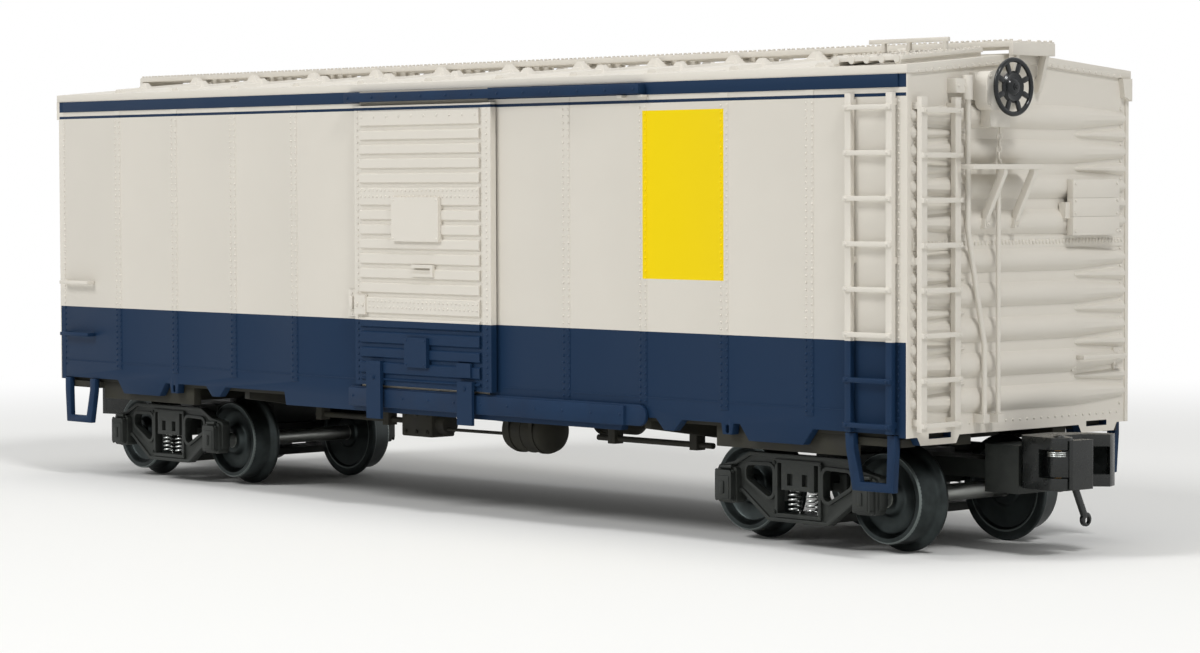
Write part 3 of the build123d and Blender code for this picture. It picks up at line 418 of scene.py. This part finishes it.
# Dark olive plastic straight from the mould: matt, spark-eroded
underframe_plastic = make_finish("moulded ABS, dark olive", 6.0, ("#2C2B27", "#38372F"), (0.6, 0.75),
                                 (0.3, 0.015), specular=0.2)
# Plated spring wire: bright, slightly streaked
spring_steel = make_finish("nickel-plated spring steel wire", 0.8, ("#8E918F", "#BCBFBC"), (0.22, 0.4),
                           (0.2, 0.004), metallic=1.0)
# Turned brass, a little tarnished
pin_brass = make_finish("turned brass", 1.0, ("#94703A", "#B98D4C"), (0.28, 0.42),
                        (0.3, 0.006), metallic=1.0)
# Dipped gloss enamel on the brake wheel: deep black, sharp highlights
black_enamel = make_finish("gloss black enamel on die-cast zinc", 2.0, ("#0B0E10", "#12171A"), (0.14, 0.26),
                           (0.8, 0.01), specular=0.4)
FINISH_OF_SLOT = {
    "body_cream": body_paint,
    "roof_cream": body_paint,
    "navy_paint": navy_paint,
    "underframe_olive": underframe_plastic,
    "truck_grey": cast_zinc,
    "wheel_steel": turned_steel,
    "spring_steel": spring_steel,
    "pin_brass": pin_brass,
    "brake_black": black_enamel,
}


# Small shapes, added to a bmesh in millimetres
def add_block(bm, x, y, z):
    """A box between pairs of coordinates."""
    size = Matrix.Diagonal((x[1] - x[0], y[1] - y[0], z[1] - z[0], 1))
    middle = Vector(((x[0] + x[1]) / 2, (y[0] + y[1]) / 2, (z[0] + z[1]) / 2))
    bmesh.ops.create_cube(bm, size=1, matrix=Matrix.Translation(middle) @ size)


def around(middle, half):
    """The two coordinates at half a width from a middle."""
    return middle - half, middle + half


def add_bar(bm, start, end, radius):
    """A round bar from one point to another."""
    along = Vector(end) - Vector(start)
    middle = (Vector(start) + Vector(end)) / 2
    turn = along.to_track_quat("Z", "Y").to_matrix().to_4x4()
    bmesh.ops.create_cone(bm, cap_ends=True, segments=12, radius1=radius, radius2=radius,
                          depth=along.length, matrix=Matrix.Translation(middle) @ turn)


def soften(bm, width, segments=2):
    """Bevel every edge sharper than 30 degrees."""
    sharp = [e for e in bm.edges if len(e.link_faces) == 2 and e.calc_face_angle(0) > math.radians(30)]
    bmesh.ops.bevel(bm, geom=sharp, offset=width, affect="EDGES", segments=segments, profile=0.5,
                    material=-1, clamp_overlap=True)


def keep_mesh(bm, name):
    """Keep what a bmesh holds as a mesh, and let the bmesh go."""
    mesh = bpy.data.meshes.new(name)
    bm.to_mesh(mesh)
    bm.free()
    return mesh


def as_pattern(bm, name):
    """Keep a small shape as a mesh, to be stamped wherever it repeats."""
    bmesh.ops.recalc_face_normals(bm, faces=bm.faces)
    return keep_mesh(bm, name)


def stamp(bm, pattern, places):
    """Add a copy of a pattern at each place, a matrix."""
    for place in places:
        copy = pattern.copy()
        copy.transform(place)
        bm.from_mesh(copy)
        bpy.data.meshes.remove(copy)


def lathe(outline, steps, name):
    """Turn an outline of radius and height round the Z axis. It closes where the radius is 0."""
    bm = bmesh.new()
    points = [bm.verts.new((radius, 0, height)) for radius, height in outline]
    edges = [bm.edges.new(pair) for pair in zip(points, points[1:])]
    bmesh.ops.spin(bm, geom=points + edges, cent=(0, 0, 0), axis=(0, 0, 1), angle=2 * math.pi, steps=steps,
                   use_merge=True, use_duplicate=False)
    bmesh.ops.remove_doubles(bm, verts=bm.verts, dist=0.0001)
    return as_pattern(bm, name)


def ring(radius, wire, sides, steps, name, height=0):
    """A ring of round wire about the Z axis."""
    angles = [step * math.pi / (sides / 2) for step in range(sides + 1)]
    outline = [(radius + wire * math.cos(angle), height + wire * math.sin(angle)) for angle in angles]
    return lathe(outline, steps, name)


def make_dome():
    """One rivet head of radius 1 on the plane Z = 0."""
    bm = bmesh.new()
    bmesh.ops.create_uvsphere(bm, u_segments=8, v_segments=6, radius=1)
    bmesh.ops.delete(bm, geom=[v for v in bm.verts if v.co.z < -0.7], context="VERTS")
    bmesh.ops.holes_fill(bm, edges=bm.edges, sides=8)
    return as_pattern(bm, "rivet_dome")


def make_nub():
    """A small softened block, 1 in size, standing on the plane Z = 0."""
    bm = bmesh.new()
    add_block(bm, (-0.5, 0.5), (-0.5, 0.5), (0, 1))
    soften(bm, 0.18, segments=1)
    return as_pattern(bm, "nub")


def make_hex_bolt():
    """A hexagon head of radius 1 with its shank's rounded end, on the plane Z = 0."""
    bm = bmesh.new()
    # columns: sides, lower radius, upper radius, height, middle
    for sides, lower, upper, high, middle in ((6, 1, 0.92, 0.7, 0.35), (8, 0.5, 0.35, 0.5, 0.9)):
        bmesh.ops.create_cone(bm, cap_ends=True, segments=sides, radius1=lower, radius2=upper, depth=high,
                              matrix=Matrix.Translation((0, 0, middle)))
    return as_pattern(bm, "hex_bolt")


DOME = make_dome()
NUB = make_nub()
HEX_BOLT = make_hex_bolt()

# Heads of rivets and bolts: pattern, radius, height
RIVET = (DOME, 0.27, 0.19)
DOOR_TOP_RIVET = (DOME, 0.3, 0.18)
DOOR_BOARD_BOLT = (DOME, 0.28, 0.12)
DOOR_LOCK_BOLT = (HEX_BOLT, 0.5, 0.3)
HASP_RIVET = (DOME, 0.35, 0.2)
UPPER_TRACK_BOLT = (DOME, 0.32, 0.2)
LOWER_TRACK_BOLT = (DOME, 0.32, 0.15)
LADDER_BOLT = (DOME, 0.36, 0.22)
END_RIVET = (DOME, 0.3, 0.2)
GRAB_BOLT = (HEX_BOLT, 0.4, 0.25)
PLANK_BOLT = (DOME, 0.34, 0.25)
WHEEL_NUT = (HEX_BOLT, 0.75, 0.5)
HOUSING_BOLT = (HEX_BOLT, 0.45, 0.3)
BRACE_BOLT = (HEX_BOLT, 0.48, 0.4)
VALVE_RIVET = (DOME, 0.35, 0.25)
ROOF_RIVET = (DOME, 0.26, 0.16)
LID_BOLT = (HEX_BOLT, 0.42, 0.35)
FRAME_BOLT = (HEX_BOLT, 0.4, 0.3)
PIN_HEAD = (DOME, 1.15, 0.45)
PIN_FOOT = (DOME, 1.15, 0.35)
CONTROL_BOLT = (HEX_BOLT, 0.5, 0.4)


def spaced(start, end, pitch):
    """Places from start to end, as near as they fit to a pitch."""
    count = round((end - start) / pitch)
    return [start + step * (end - start) / count for step in range(count + 1)]


def grid(*coordinates):
    """Places at every combination of x, y and z, each one number or several."""
    xs, ys, zs = ([given] if isinstance(given, (int, float)) else given for given in coordinates)
    return [(x, y, z) for x in xs for y in ys for z in zs]


def add_heads(bm, normal, rows):
    """Rivet or bolt heads on faces that look along normal. columns: x, y, z, head."""
    turn = Vector(normal).to_track_quat("Z", "Y").to_matrix().to_4x4()
    for x, y, z, (pattern, radius, high) in rows:
        size = Matrix.Diagonal((radius, radius, high, 1))
        stamp(bm, pattern, [Matrix.Translation(place) @ turn @ size for place in grid(x, y, z)])


def only_heads(normal, rows):
    """A new bmesh of rivet or bolt heads."""
    bm = bmesh.new()
    add_heads(bm, normal, rows)
    return bm


def roof_z(y):
    """Height of the roof sheet at a distance from the ridge."""
    return RIDGE_TOP - (RIDGE_TOP - EAVE_TOP) * abs(y) / ROOF_HALF


def add_object(name, data):
    """Put a mesh, camera or lamp into the scene."""
    thing = bpy.data.objects.new(name, data)
    bpy.context.scene.collection.objects.link(thing)
    return thing


def finish(bm, name, body="car_body", slot="body_cream", material=None, turned=False):
    """Turn the shapes into a piece of the model that rides on a body. It takes its slot's finish."""
    if turned:
        bm.transform(HALF_TURN)
    bm.transform(Matrix.Scale(MM, 4))
    bmesh.ops.recalc_face_normals(bm, faces=bm.faces)
    for face in bm.faces:
        face.smooth = True
    for edge in bm.edges:
        edge.smooth = len(edge.link_faces) == 2 and edge.calc_face_angle(0) < SHARP_CORNER
    mesh = keep_mesh(bm, name)
    mesh.materials.append(material or FINISH_OF_SLOT[slot])
    piece = add_object(name, mesh)
    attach(piece, body)
    return piece


def twice(marks, bm, name, bodies, slot, material=None):
    """Finish a shape twice, the second time after half a turn about the middle of the car."""
    twin = bm.copy()
    return [
        finish(bm, f"{name}_{marks[0]}", bodies[0], slot, material),
        finish(twin, f"{name}_{marks[1]}", bodies[1], slot, material, turned=True),
    ]


def both_sides(bm, name, bodies=("car_body", "car_body"), slot="body_cream"):
    return twice(("near", "far"), bm, name, bodies, slot)


def both_ends(bm, name, bodies=("car_body", "car_body"), slot="body_cream", material=None):
    return twice(("brake", "plain"), bm, name, bodies, slot, material)


# Finishes of the CAD nodes
for part in frame["record"]["subparts"]:
    oiled = part["node"].startswith(("coupler_head", "coupler_knuckle", "uncoupling_lever"))
    for slot in nodes[part["node"]].material_slots:
        slot.material = coupler_black if oiled else FINISH_OF_SLOT[part["material_slot"]]


# Shading that is smooth on round faces and sharp at corners, for the CAD nodes
def make_shading():
    group = bpy.data.node_groups.new("smooth round faces", "GeometryNodeTree")
    for direction in ("INPUT", "OUTPUT"):
        group.interface.new_socket("Geometry", in_out=direction, socket_type="NodeSocketGeometry")
    whole = add_node(group, "NodeGroupInput")
    angle = add_node(group, "GeometryNodeInputMeshEdgeAngle").outputs["Unsigned Angle"]
    sharp = add_node(group, "ShaderNodeMath", {0: angle, 1: SHARP_CAD_CORNER}, operation="GREATER_THAN")
    round_faces = add_node(group, "GeometryNodeSetShadeSmooth", {"Geometry": whole, "Shade Smooth": True})
    edges = {"Geometry": round_faces, "Selection": sharp, "Shade Smooth": False}
    corners = add_node(group, "GeometryNodeSetShadeSmooth", edges, domain="EDGE")
    add_node(group, "NodeGroupOutput", {"Geometry": corners})
    return group


SHADING = make_shading()


def soften_node(node, width):
    """Merge a CAD node's loose triangles, soften its edges by a width if it has one, and shade it."""
    merged = node.modifiers.new("merged", "WELD")
    merged.merge_threshold = 0.002 * MM
    if width:
        flats = node.modifiers.new("flats", "DECIMATE")
        flats.decimate_type = "DISSOLVE"
        flats.angle_limit = math.radians(0.5)
        edges = node.modifiers.new("soft edges", "BEVEL")
        edges.width = width * MM
        edges.segments = 2
        edges.limit_method = "ANGLE"
        edges.angle_limit = SHARP_CORNER
        edges.use_clamp_overlap = True
        edges.harden_normals = False
    shading = node.modifiers.new("shading", "NODES")
    shading.node_group = SHADING


for name, node in nodes.items():
    widths = [width for width, starts in SOFT_EDGES if name.startswith(starts)]
    soften_node(node, widths[0] if widths else 0)

# Rivets of the sides: two rows on each lap and one at each corner
both_sides(only_heads(OFF_SIDE, (
    ([lap + row for lap in LAP_X for row in LAP_ROWS], -LAP_FACE, spaced(26.2, 82.1, RIVET_PITCH), RIVET),
    ((-CORNER_RIVET_X, CORNER_RIVET_X), -SIDE_Y, spaced(26.0, 82.0, RIVET_PITCH), RIVET),
)), "side_rivets")


def sill_seam():
    bm = bmesh.new()
    for x in SILL_SEAM_X:
        add_block(bm, x, (-SIDE_Y - SILL_SEAM_PROUD, -SIDE_Y + SILL_SEAM_SUNK),
                  around(SILL_SEAM_Z, SILL_SEAM_HALF))
    return bm


both_sides(sill_seam(), "sill_seam")

# Door: rivets of the top, of the joints between ribs and of the edges, bolts of the boards and of the lock
both_sides(only_heads(OFF_SIDE, (
    (spaced(-18.0, 18.2, 3.9), -DOOR_RIB_Y, 81.6, DOOR_TOP_RIVET),
    (spaced(-18.3, 18.6, RIVET_PITCH), -DOOR_RIB_Y, (66.4, 65.1, 43.4, 42.2), RIVET),
    ((-20.0, 19.75), -DOOR_PLATE_Y, spaced(27.0, 82.8, RIVET_PITCH), RIVET),
    (21.6, -DOOR_RIB_Y, spaced(27.0, 82.8, RIVET_PITCH), RIVET),
    ((-7.0, 6.8), -DOOR_BOARD_Y, (56.5, 64.4), DOOR_BOARD_BOLT),
    ((-3.0, 2.8), -DOOR_BOARD_Y, (30.7, 35.6), DOOR_BOARD_BOLT),
    ((-19.5, -17.6), -33.1, 42.6, DOOR_LOCK_BOLT),
    (-13.8, -33.4, 27.6, DOOR_LOCK_BOLT),
    (15.3, -33.4, 26.4, DOOR_LOCK_BOLT),
)), "door_rivets", ("door_near_leaf", "door_far_leaf"))


def hasp():
    bm = bmesh.new()
    for x, out, z in HASP_PLATES:
        add_block(bm, x, (-SIDE_Y - out, -SIDE_Y), z)
    soften(bm, 0.15)
    add_heads(bm, OFF_SIDE, ((-23.0, -SIDE_Y - 0.5, (40.6, 44.9), HASP_RIVET),))
    return bm


# Brackets of the upper track
def track_brackets():
    bm = bmesh.new()
    for x in BRACKET_X:
        add_block(bm, around(x, BRACKET_HALF), (-BRACKET_OUT, -SIDE_Y), BRACKET_Z)
    soften(bm, 0.15)
    return bm


both_sides(hasp(), "door_hasp")
both_sides(track_brackets(), "track_brackets")
both_sides(only_heads(OFF_SIDE, (
    (spaced(-22.0, 65.0, 7.9), -33.3, 85.6, UPPER_TRACK_BOLT),
    (spaced(-22.0, 60.0, 8.2), -32.4, 23.4, LOWER_TRACK_BOLT),
)), "track_bolts", slot="navy_paint")

# Bolts where the rungs of the ladders meet the rails
both_sides(only_heads(OFF_SIDE, (
    ((119.75, 129.65), -33.02, spaced(24.4, 81.1, 8.1), LADDER_BOLT),
)), "ladder_bolts_side")
both_ends(only_heads(OFF_END, (
    (135.32, (-28.75, -19.75), spaced(24.7, 80.49, 7.97), LADDER_BOLT),
)), "ladder_bolts_end")


# Rivets of the pressed ends: along the gable, both corners, the middle seam and the foot
def end_rivets():
    gable = [(ROOF_END_X, side * y, roof_z(y) - GABLE_DROP, END_RIVET)
             for side in (-1, 1) for y in spaced(6.4, 28.2, 1.8)]
    bm = only_heads(OFF_END, gable)
    add_heads(bm, OFF_END, (
        (END_X + 0.05, (-CORNER_BOLT_Y, CORNER_BOLT_Y), spaced(26.0, 81.3, 3.25), END_RIVET),
        (END_X, spaced(-28.0, 28.0, 2.0), 24.4, RIVET),
    ))
    tooth = Matrix.Diagonal((*END_TOOTH, 1)) @ ALONG_X
    teeth = grid(SEAM_FACE_X, spaced(-29.0, 29.0, 0.95), END_SEAM_Z)
    stamp(bm, DOME, [Matrix.Translation(place) @ tooth for place in teeth])
    return bm


# Feet of the grab irons on the ends
def end_grab_feet():
    bm = bmesh.new()
    for y in GRAB_FOOT_Y:
        add_block(bm, (END_X, END_X + GRAB_FOOT_OUT), around(y, GRAB_FOOT_HALF), GRAB_FOOT_Z)
    soften(bm, 0.15)
    add_heads(bm, OFF_END, ((END_X + GRAB_FOOT_OUT, GRAB_FOOT_Y, 33.3, GRAB_BOLT),))
    return bm


# Wooden placard boards on the ends: three planks with bolts at both edges, and a bracket
def placard():
    bm = bmesh.new()
    for low in PLANK_Z:
        add_block(bm, PLANK_X, PLANK_Y, (low, low + PLANK_HIGH))
    soften(bm, 0.05)
    add_heads(bm, OFF_END, ((PLANK_X[1], (12.5, 24.6), (58.6, 61.9, 64.3, 67.4), PLANK_BOLT),))
    add_block(bm, *PLANK_BRACKET)
    return bm


both_ends(end_rivets(), "end_rivets")
both_ends(end_grab_feet(), "end_grab_feet")
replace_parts(both_ends(placard(), "placard_planks")[0], "placards")


# Brake wheel: a stamped dish with eight short spokes, a round rim and a nut
def brake_wheel():
    bm = bmesh.new()
    spoke = Matrix.Translation(SPOKE_MIDDLE) @ Matrix.Diagonal((*SPOKE_SIZE, 1))
    turns = [math.pi * (2 * step + 1) / SPOKES for step in range(SPOKES)]
    stamp(bm, NUB, [Matrix.Rotation(turn, 4, "Z") @ spoke for turn in turns])
    stamp(bm, lathe(WHEEL_DISH, 48, "wheel_dish"), [Matrix.Identity(4)])
    stamp(bm, ring(RIM_R, RIM_WIRE, 12, 64, "wheel_rim", height=RIM_Z), [Matrix.Identity(4)])
    add_heads(bm, (0, 0, 1), ((0, 0, 1.0, WHEEL_NUT),))
    bm.transform(Matrix.Translation((WHEEL_X, BRAKE_Y, WHEEL_Z)) @ ALONG_X)
    return bm


# Brake rod in its foot, with a real chain between it and the housing
def brake_chain():
    bm = bmesh.new()
    foot, top = ROD_Z
    add_bar(bm, (ROD_X, CHAIN_Y, foot), (ROD_X, CHAIN_Y, top), ROD_R)
    add_block(bm, (END_X, ROD_X + 0.7), around(CHAIN_Y, 0.8), (24.4, 26.0))
    link = ring(LINK_R, LINK_WIRE, 8, 16, "chain_link")
    low, high = CHAIN_Z
    for step, z in enumerate(spaced(low, high, LINK_PITCH)):
        # every other link is a quarter turn round, and the chain leans to one side
        turn = Matrix.Rotation(math.radians(45 + 90 * (step % 2)), 4, "Z") @ UPRIGHT
        y = CHAIN_Y + CHAIN_LEAN * (z - low) / (high - low)
        stamp(bm, link, [Matrix.Translation((ROD_X, y, z)) @ turn @ Matrix.Diagonal((*LINK_STRETCH, 1))])
    return bm


# Bolts of the hand brake's housing, step and valve, with a foot under each of the step's braces
def brake_bolts():
    bm = bmesh.new()
    for y in BRACE_Y:
        add_block(bm, (END_X - 0.1, BRACE_FACE), around(y, 0.6), (59.4, 61.2))
    soften(bm, 0.15)
    add_heads(bm, OFF_END, (
        (END_X + 4.2, around(BRAKE_Y, 3.3), (81.5, 86.7), HOUSING_BOLT),
        (BRACE_FACE, BRACE_Y, 60.2, BRACE_BOLT),
        (END_X + 2.2, (-19.6, -17.8), 84.9, VALVE_RIVET),
    ))
    return bm


wheel = finish(brake_wheel(), "brake_wheel_spoked", slot="brake_black")
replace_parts(wheel, "brake_wheel")
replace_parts(finish(brake_chain(), "brake_rod_and_chain"), "brake_rod")
finish(brake_bolts(), "brake_bolts")


# Rivets on both sides of each roof seam
def seam_rivets():
    bm = bmesh.new()
    for side in (-1, 1):
        normal = (0, side * math.sin(ROOF_FALL), math.cos(ROOF_FALL))
        add_heads(bm, normal, [(around(seam * SEAM_PITCH, 2.4), side * y, roof_z(y), ROOF_RIVET)
                               for seam in range(-5, 6) for y in spaced(9.5, 29.6, 2.0)])
    return bm


# Raised teeth of the running board's gratings
def grating_teeth():
    bm = bmesh.new()
    tooth = Matrix.Diagonal((*GRATING_TOOTH, 1))
    edges = grid(spaced(-BOARD_END + 0.6, BOARD_END - 0.6, RIVET_PITCH), (-5.5, 5.5), BOARD_TOP)
    middle = grid(spaced(-BOARD_END + 1.0, BOARD_END - 1.0, 2.6), (-2.6, 0.0, 2.6), BOARD_TOP)
    stamp(bm, NUB, [Matrix.Translation(place) @ tooth for place in edges + middle])
    return bm


# Teeth of the lateral boards in three rows down the slope, and the round feet of their strips
def lateral_teeth():
    bm = bmesh.new()
    tooth = Matrix.Rotation(ROOF_FALL, 4, "X") @ Matrix.Diagonal((*LATERAL_TOOTH, 1))
    low, high = LATERAL_X
    for x in (low + 0.4, (low + high) / 2, high - 0.4):
        places = [(x, -y, roof_z(y) + LATERAL_TOP) for y in spaced(9.6, 30.0, RIVET_PITCH)]
        stamp(bm, NUB, [Matrix.Translation(place) @ tooth for place in places])
    for x in spaced(low + 1.4, high - 1.4, 3.6):
        start, end = ((x, -y, roof_z(y) + LATERAL_FOOT_TOP) for y in LATERAL_FOOT_Y)
        add_bar(bm, start, end, LATERAL_FOOT_R)
    return bm


finish(seam_rivets(), "roof_seam_rivets", slot="roof_cream")
finish(grating_teeth(), "running_board_teeth", slot="roof_cream")
both_ends(lateral_teeth(), "lateral_board_teeth", slot="roof_cream")


# Two wheels on their axle, turned from one outline
def wheelset(x):
    mirrored = [(radius, -y) for radius, y in reversed(WHEEL_OUTLINE)]
    turned = lathe(mirrored + list(WHEEL_OUTLINE), 72, "wheelset_outline")
    bm = bmesh.new()
    stamp(bm, turned, [Matrix.Translation((x, 0, AXLE_Z)) @ Matrix.Rotation(-math.pi / 2, 4, "X")])
    return bm


# Helical springs between the spring plank and the bolster
def truck_springs(truck_x):
    bm = bmesh.new()
    turns = COILS + 0.5
    steps = int(turns * COIL_STEPS)
    rise = (SPRING_Z[1] - SPRING_Z[0] - 2 * SPRING_WIRE) / steps
    for middle in grid(around(truck_x, SPRING_X), (-SPRING_Y, SPRING_Y), SPRING_Z[0] + SPRING_WIRE):
        place = Matrix.Translation(Vector(middle) + Vector((SPRING_R, 0, 0))) @ UPRIGHT
        wire = bmesh.ops.create_circle(bm, segments=8, radius=SPRING_WIRE, cap_ends=True,
                                       matrix=place)["verts"]
        edges = list({e for v in wire for e in v.link_edges})
        faces = list({f for v in wire for f in v.link_faces})
        bmesh.ops.spin(bm, geom=wire + edges + faces, cent=middle, axis=(0, 0, 1), dvec=(0, 0, rise),
                       angle=turns * 2 * math.pi, steps=steps, use_duplicate=False)
    return bm


# Journal box lids with their bolts, and bolts along the frames
def truck_fittings():
    bm = bmesh.new()
    axles = around(TRUCK_X, AXLE_HALF)
    for side in (-1, 1):
        for x in axles:
            for half, out, z in LID_PLATES:
                y = sorted(side * (JOURNAL_OUT + each) for each in out)
                add_block(bm, around(x, half), y, z)
    soften(bm, 0.2)
    for side in (-1, 1):
        lid_bolts = [(around(x, 2.1), side * (JOURNAL_OUT - 0.6), (8.1, 13.4), LID_BOLT) for x in axles]
        frame_bolts = [(around(TRUCK_X, 5.9), side * 24.3, (6.4, 15.6), FRAME_BOLT)]
        add_heads(bm, (0, side, 0), lid_bolts + frame_bolts)
    return bm


# Heads of the couplers' pins
def pin_heads():
    bm = only_heads((0, 0, 1), ((*PIN, COUPLER_TOP, PIN_HEAD),))
    add_heads(bm, (0, 0, -1), ((*PIN, COUPLER_FOOT, PIN_FOOT),))
    return bm


# Wire spring wound around each knuckle's hub, just under the upper lug
def knuckle_coil():
    bm = bmesh.new()
    turn = ring(HUB_R, KNUCKLE_WIRE, 8, 40, "coil_turn")
    stamp(bm, turn, [Matrix.Translation((*PIN, z)) for z in KNUCKLE_TURNS_Z])
    return bm


for end, sign in (("brake", 1), ("plain", -1)):
    springs = finish(truck_springs(sign * TRUCK_X), f"springs_{end}", f"truck_{end}", "spring_steel")
    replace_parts(springs, f"truck_springs_{end}")
    for which, offset in (("inner", -AXLE_HALF), ("outer", AXLE_HALF)):
        wheels = wheelset(sign * (TRUCK_X + offset))
        axle = finish(wheels, f"wheels_{which}_{end}", f"axle_{which}_{end}", "wheel_steel")
        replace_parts(axle, f"wheelset_{which}_{end}")
both_ends(truck_fittings(), "truck_fittings", ("truck_brake", "truck_plain"), "truck_grey")
both_ends(pin_heads(), "pin_heads", ("truck_brake", "truck_plain"), "truck_grey", coupler_black)
both_ends(knuckle_coil(), "knuckle_coil", ("knuckle_brake", "knuckle_plain"), "spring_steel")


# Air reservoir: a welded tank with two straps and their hangers
def reservoir():
    other_half = [(radius, -x) for radius, x in reversed(HALF_TANK)]
    tank = lathe(other_half + list(HALF_TANK), 48, "tank")
    strap = lathe(TANK_STRAP, 48, "tank_strap")
    middle, y, z = TANK
    bm = bmesh.new()
    for pattern, offset in ((tank, 0), (strap, -STRAP_OFFSET), (strap, STRAP_OFFSET)):
        stamp(bm, pattern, [Matrix.Translation((middle + offset, y, z)) @ ALONG_X])
    for x in around(middle, STRAP_OFFSET):
        add_block(bm, around(x, HANGER_HALF), HANGER_Y, (z, HANGER_TOP))
    return bm


# Train pipe and the pipes between valve, reservoir and cylinder, with the control valve's bolts
def pipes():
    bm = bmesh.new()
    for start, end, radius in PIPES:
        add_bar(bm, start, end, radius)
    add_heads(bm, OFF_SIDE, (((-25.6, -22.0, -18.4), -15.0, (14.8, 18.6), CONTROL_BOLT),))
    return bm


tank = finish(reservoir(), "reservoir_tank", slot="underframe_olive")
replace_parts(tank, "air_reservoir")
finish(pipes(), "air_pipes", slot="underframe_olive")


# Camera, at the photograph's place
def place_camera():
    turn, rise, roll = (math.radians(angle) for angle in (CAMERA_TURN, CAMERA_RISE, CAMERA_ROLL))
    back = Vector((math.sin(turn) * math.cos(rise), -math.cos(turn) * math.cos(rise), math.sin(rise)))
    right = (-back).cross(Vector((0, 0, 1))).normalized()
    up = right.cross(-back)
    level = right * math.cos(roll) + up * math.sin(roll)
    above = -right * math.sin(roll) + up * math.cos(roll)
    camera = add_object("camera", bpy.data.cameras.new("camera"))
    camera.data.lens = CAMERA_LENS
    camera.data.sensor_width = CAMERA_SENSOR
    camera.data.clip_start = 0.01
    camera.data.clip_end = 20
    facing = Matrix((level, above, back)).transposed().to_4x4()
    camera.matrix_world = Matrix.Translation(CAMERA_PLACE) @ facing
    bpy.context.scene.camera = camera


# Soft studio light
def place_light(name, place, size, power):
    lamp = add_object(name, bpy.data.lights.new(name, "AREA"))
    lamp.data.shape = "DISK"
    lamp.data.size = size
    lamp.data.energy = power
    lamp.location = place
    lamp.rotation_euler = (Vector(LIGHTS_AIM) - Vector(place)).to_track_quat("-Z", "Y").to_euler()


def seen_directly(tree):
    """1 for rays from the camera, and for reflections and views through glass."""
    rays = add_node(tree, "ShaderNodeLightPath").outputs
    seen = {0: rays["Is Glossy Ray"], 1: rays["Is Transmission Ray"]}
    mirrored = add_node(tree, "ShaderNodeMath", seen, operation="MAXIMUM")
    direct = {0: rays["Is Camera Ray"], 1: mirrored}
    return add_node(tree, "ShaderNodeMath", direct, operation="MAXIMUM")


def make_world():
    """A dim white studio that shows as plain white wherever it is seen."""
    world = bpy.data.worlds.new("white studio")
    world.use_nodes = True
    tree = world.node_tree
    dim = tree.nodes["Background"]
    dim.inputs["Color"].default_value = linear("#FFFFFF")
    dim.inputs["Strength"].default_value = WORLD_STRENGTH
    white = add_node(tree, "ShaderNodeBackground", {"Color": linear("#FFFFFF"), "Strength": 1.0})
    mix = add_node(tree, "ShaderNodeMixShader", {0: seen_directly(tree), 1: dim, 2: white})
    tree.links.new(mix.outputs[0], tree.nodes["World Output"].inputs["Surface"])
    bpy.context.scene.world = world


def make_floor():
    """A pale floor that keeps the shadow near the car and runs out into the white background."""
    bm = bmesh.new()
    bmesh.ops.create_circle(bm, segments=96, radius=FLOOR_RADIUS, cap_ends=True)
    floor = add_object("floor_disc", keep_mesh(bm, "floor_disc"))
    material, tree, shader, place = new_material("matt white board", roughness=0.9, specular=0.0)
    shader.inputs["Base Color"].default_value = linear("#F4F4F2")
    away = add_node(tree, "ShaderNodeVectorMath", {0: place}, operation="LENGTH").outputs["Value"]
    limits = {"Value": away, "From Min": FLOOR_FADE[0], "From Max": FLOOR_FADE[1]}
    fade = add_node(tree, "ShaderNodeMapRange", limits, interpolation_type="SMOOTHSTEP")
    white = add_node(tree, "ShaderNodeEmission", {"Color": linear("#FFFFFF"), "Strength": 1.0})
    share = add_node(tree, "ShaderNodeMath", {0: fade, 1: seen_directly(tree)}, operation="MULTIPLY")
    mix = add_node(tree, "ShaderNodeMixShader", {0: share, 1: shader, 2: white})
    tree.links.new(mix.outputs[0], tree.nodes["Material Output"].inputs["Surface"])
    floor.data.materials.append(material)


place_camera()
for light in LIGHTS:
    place_light(*light)
make_world()
make_floor()
bpy.context.scene.view_settings.view_transform = "Standard"
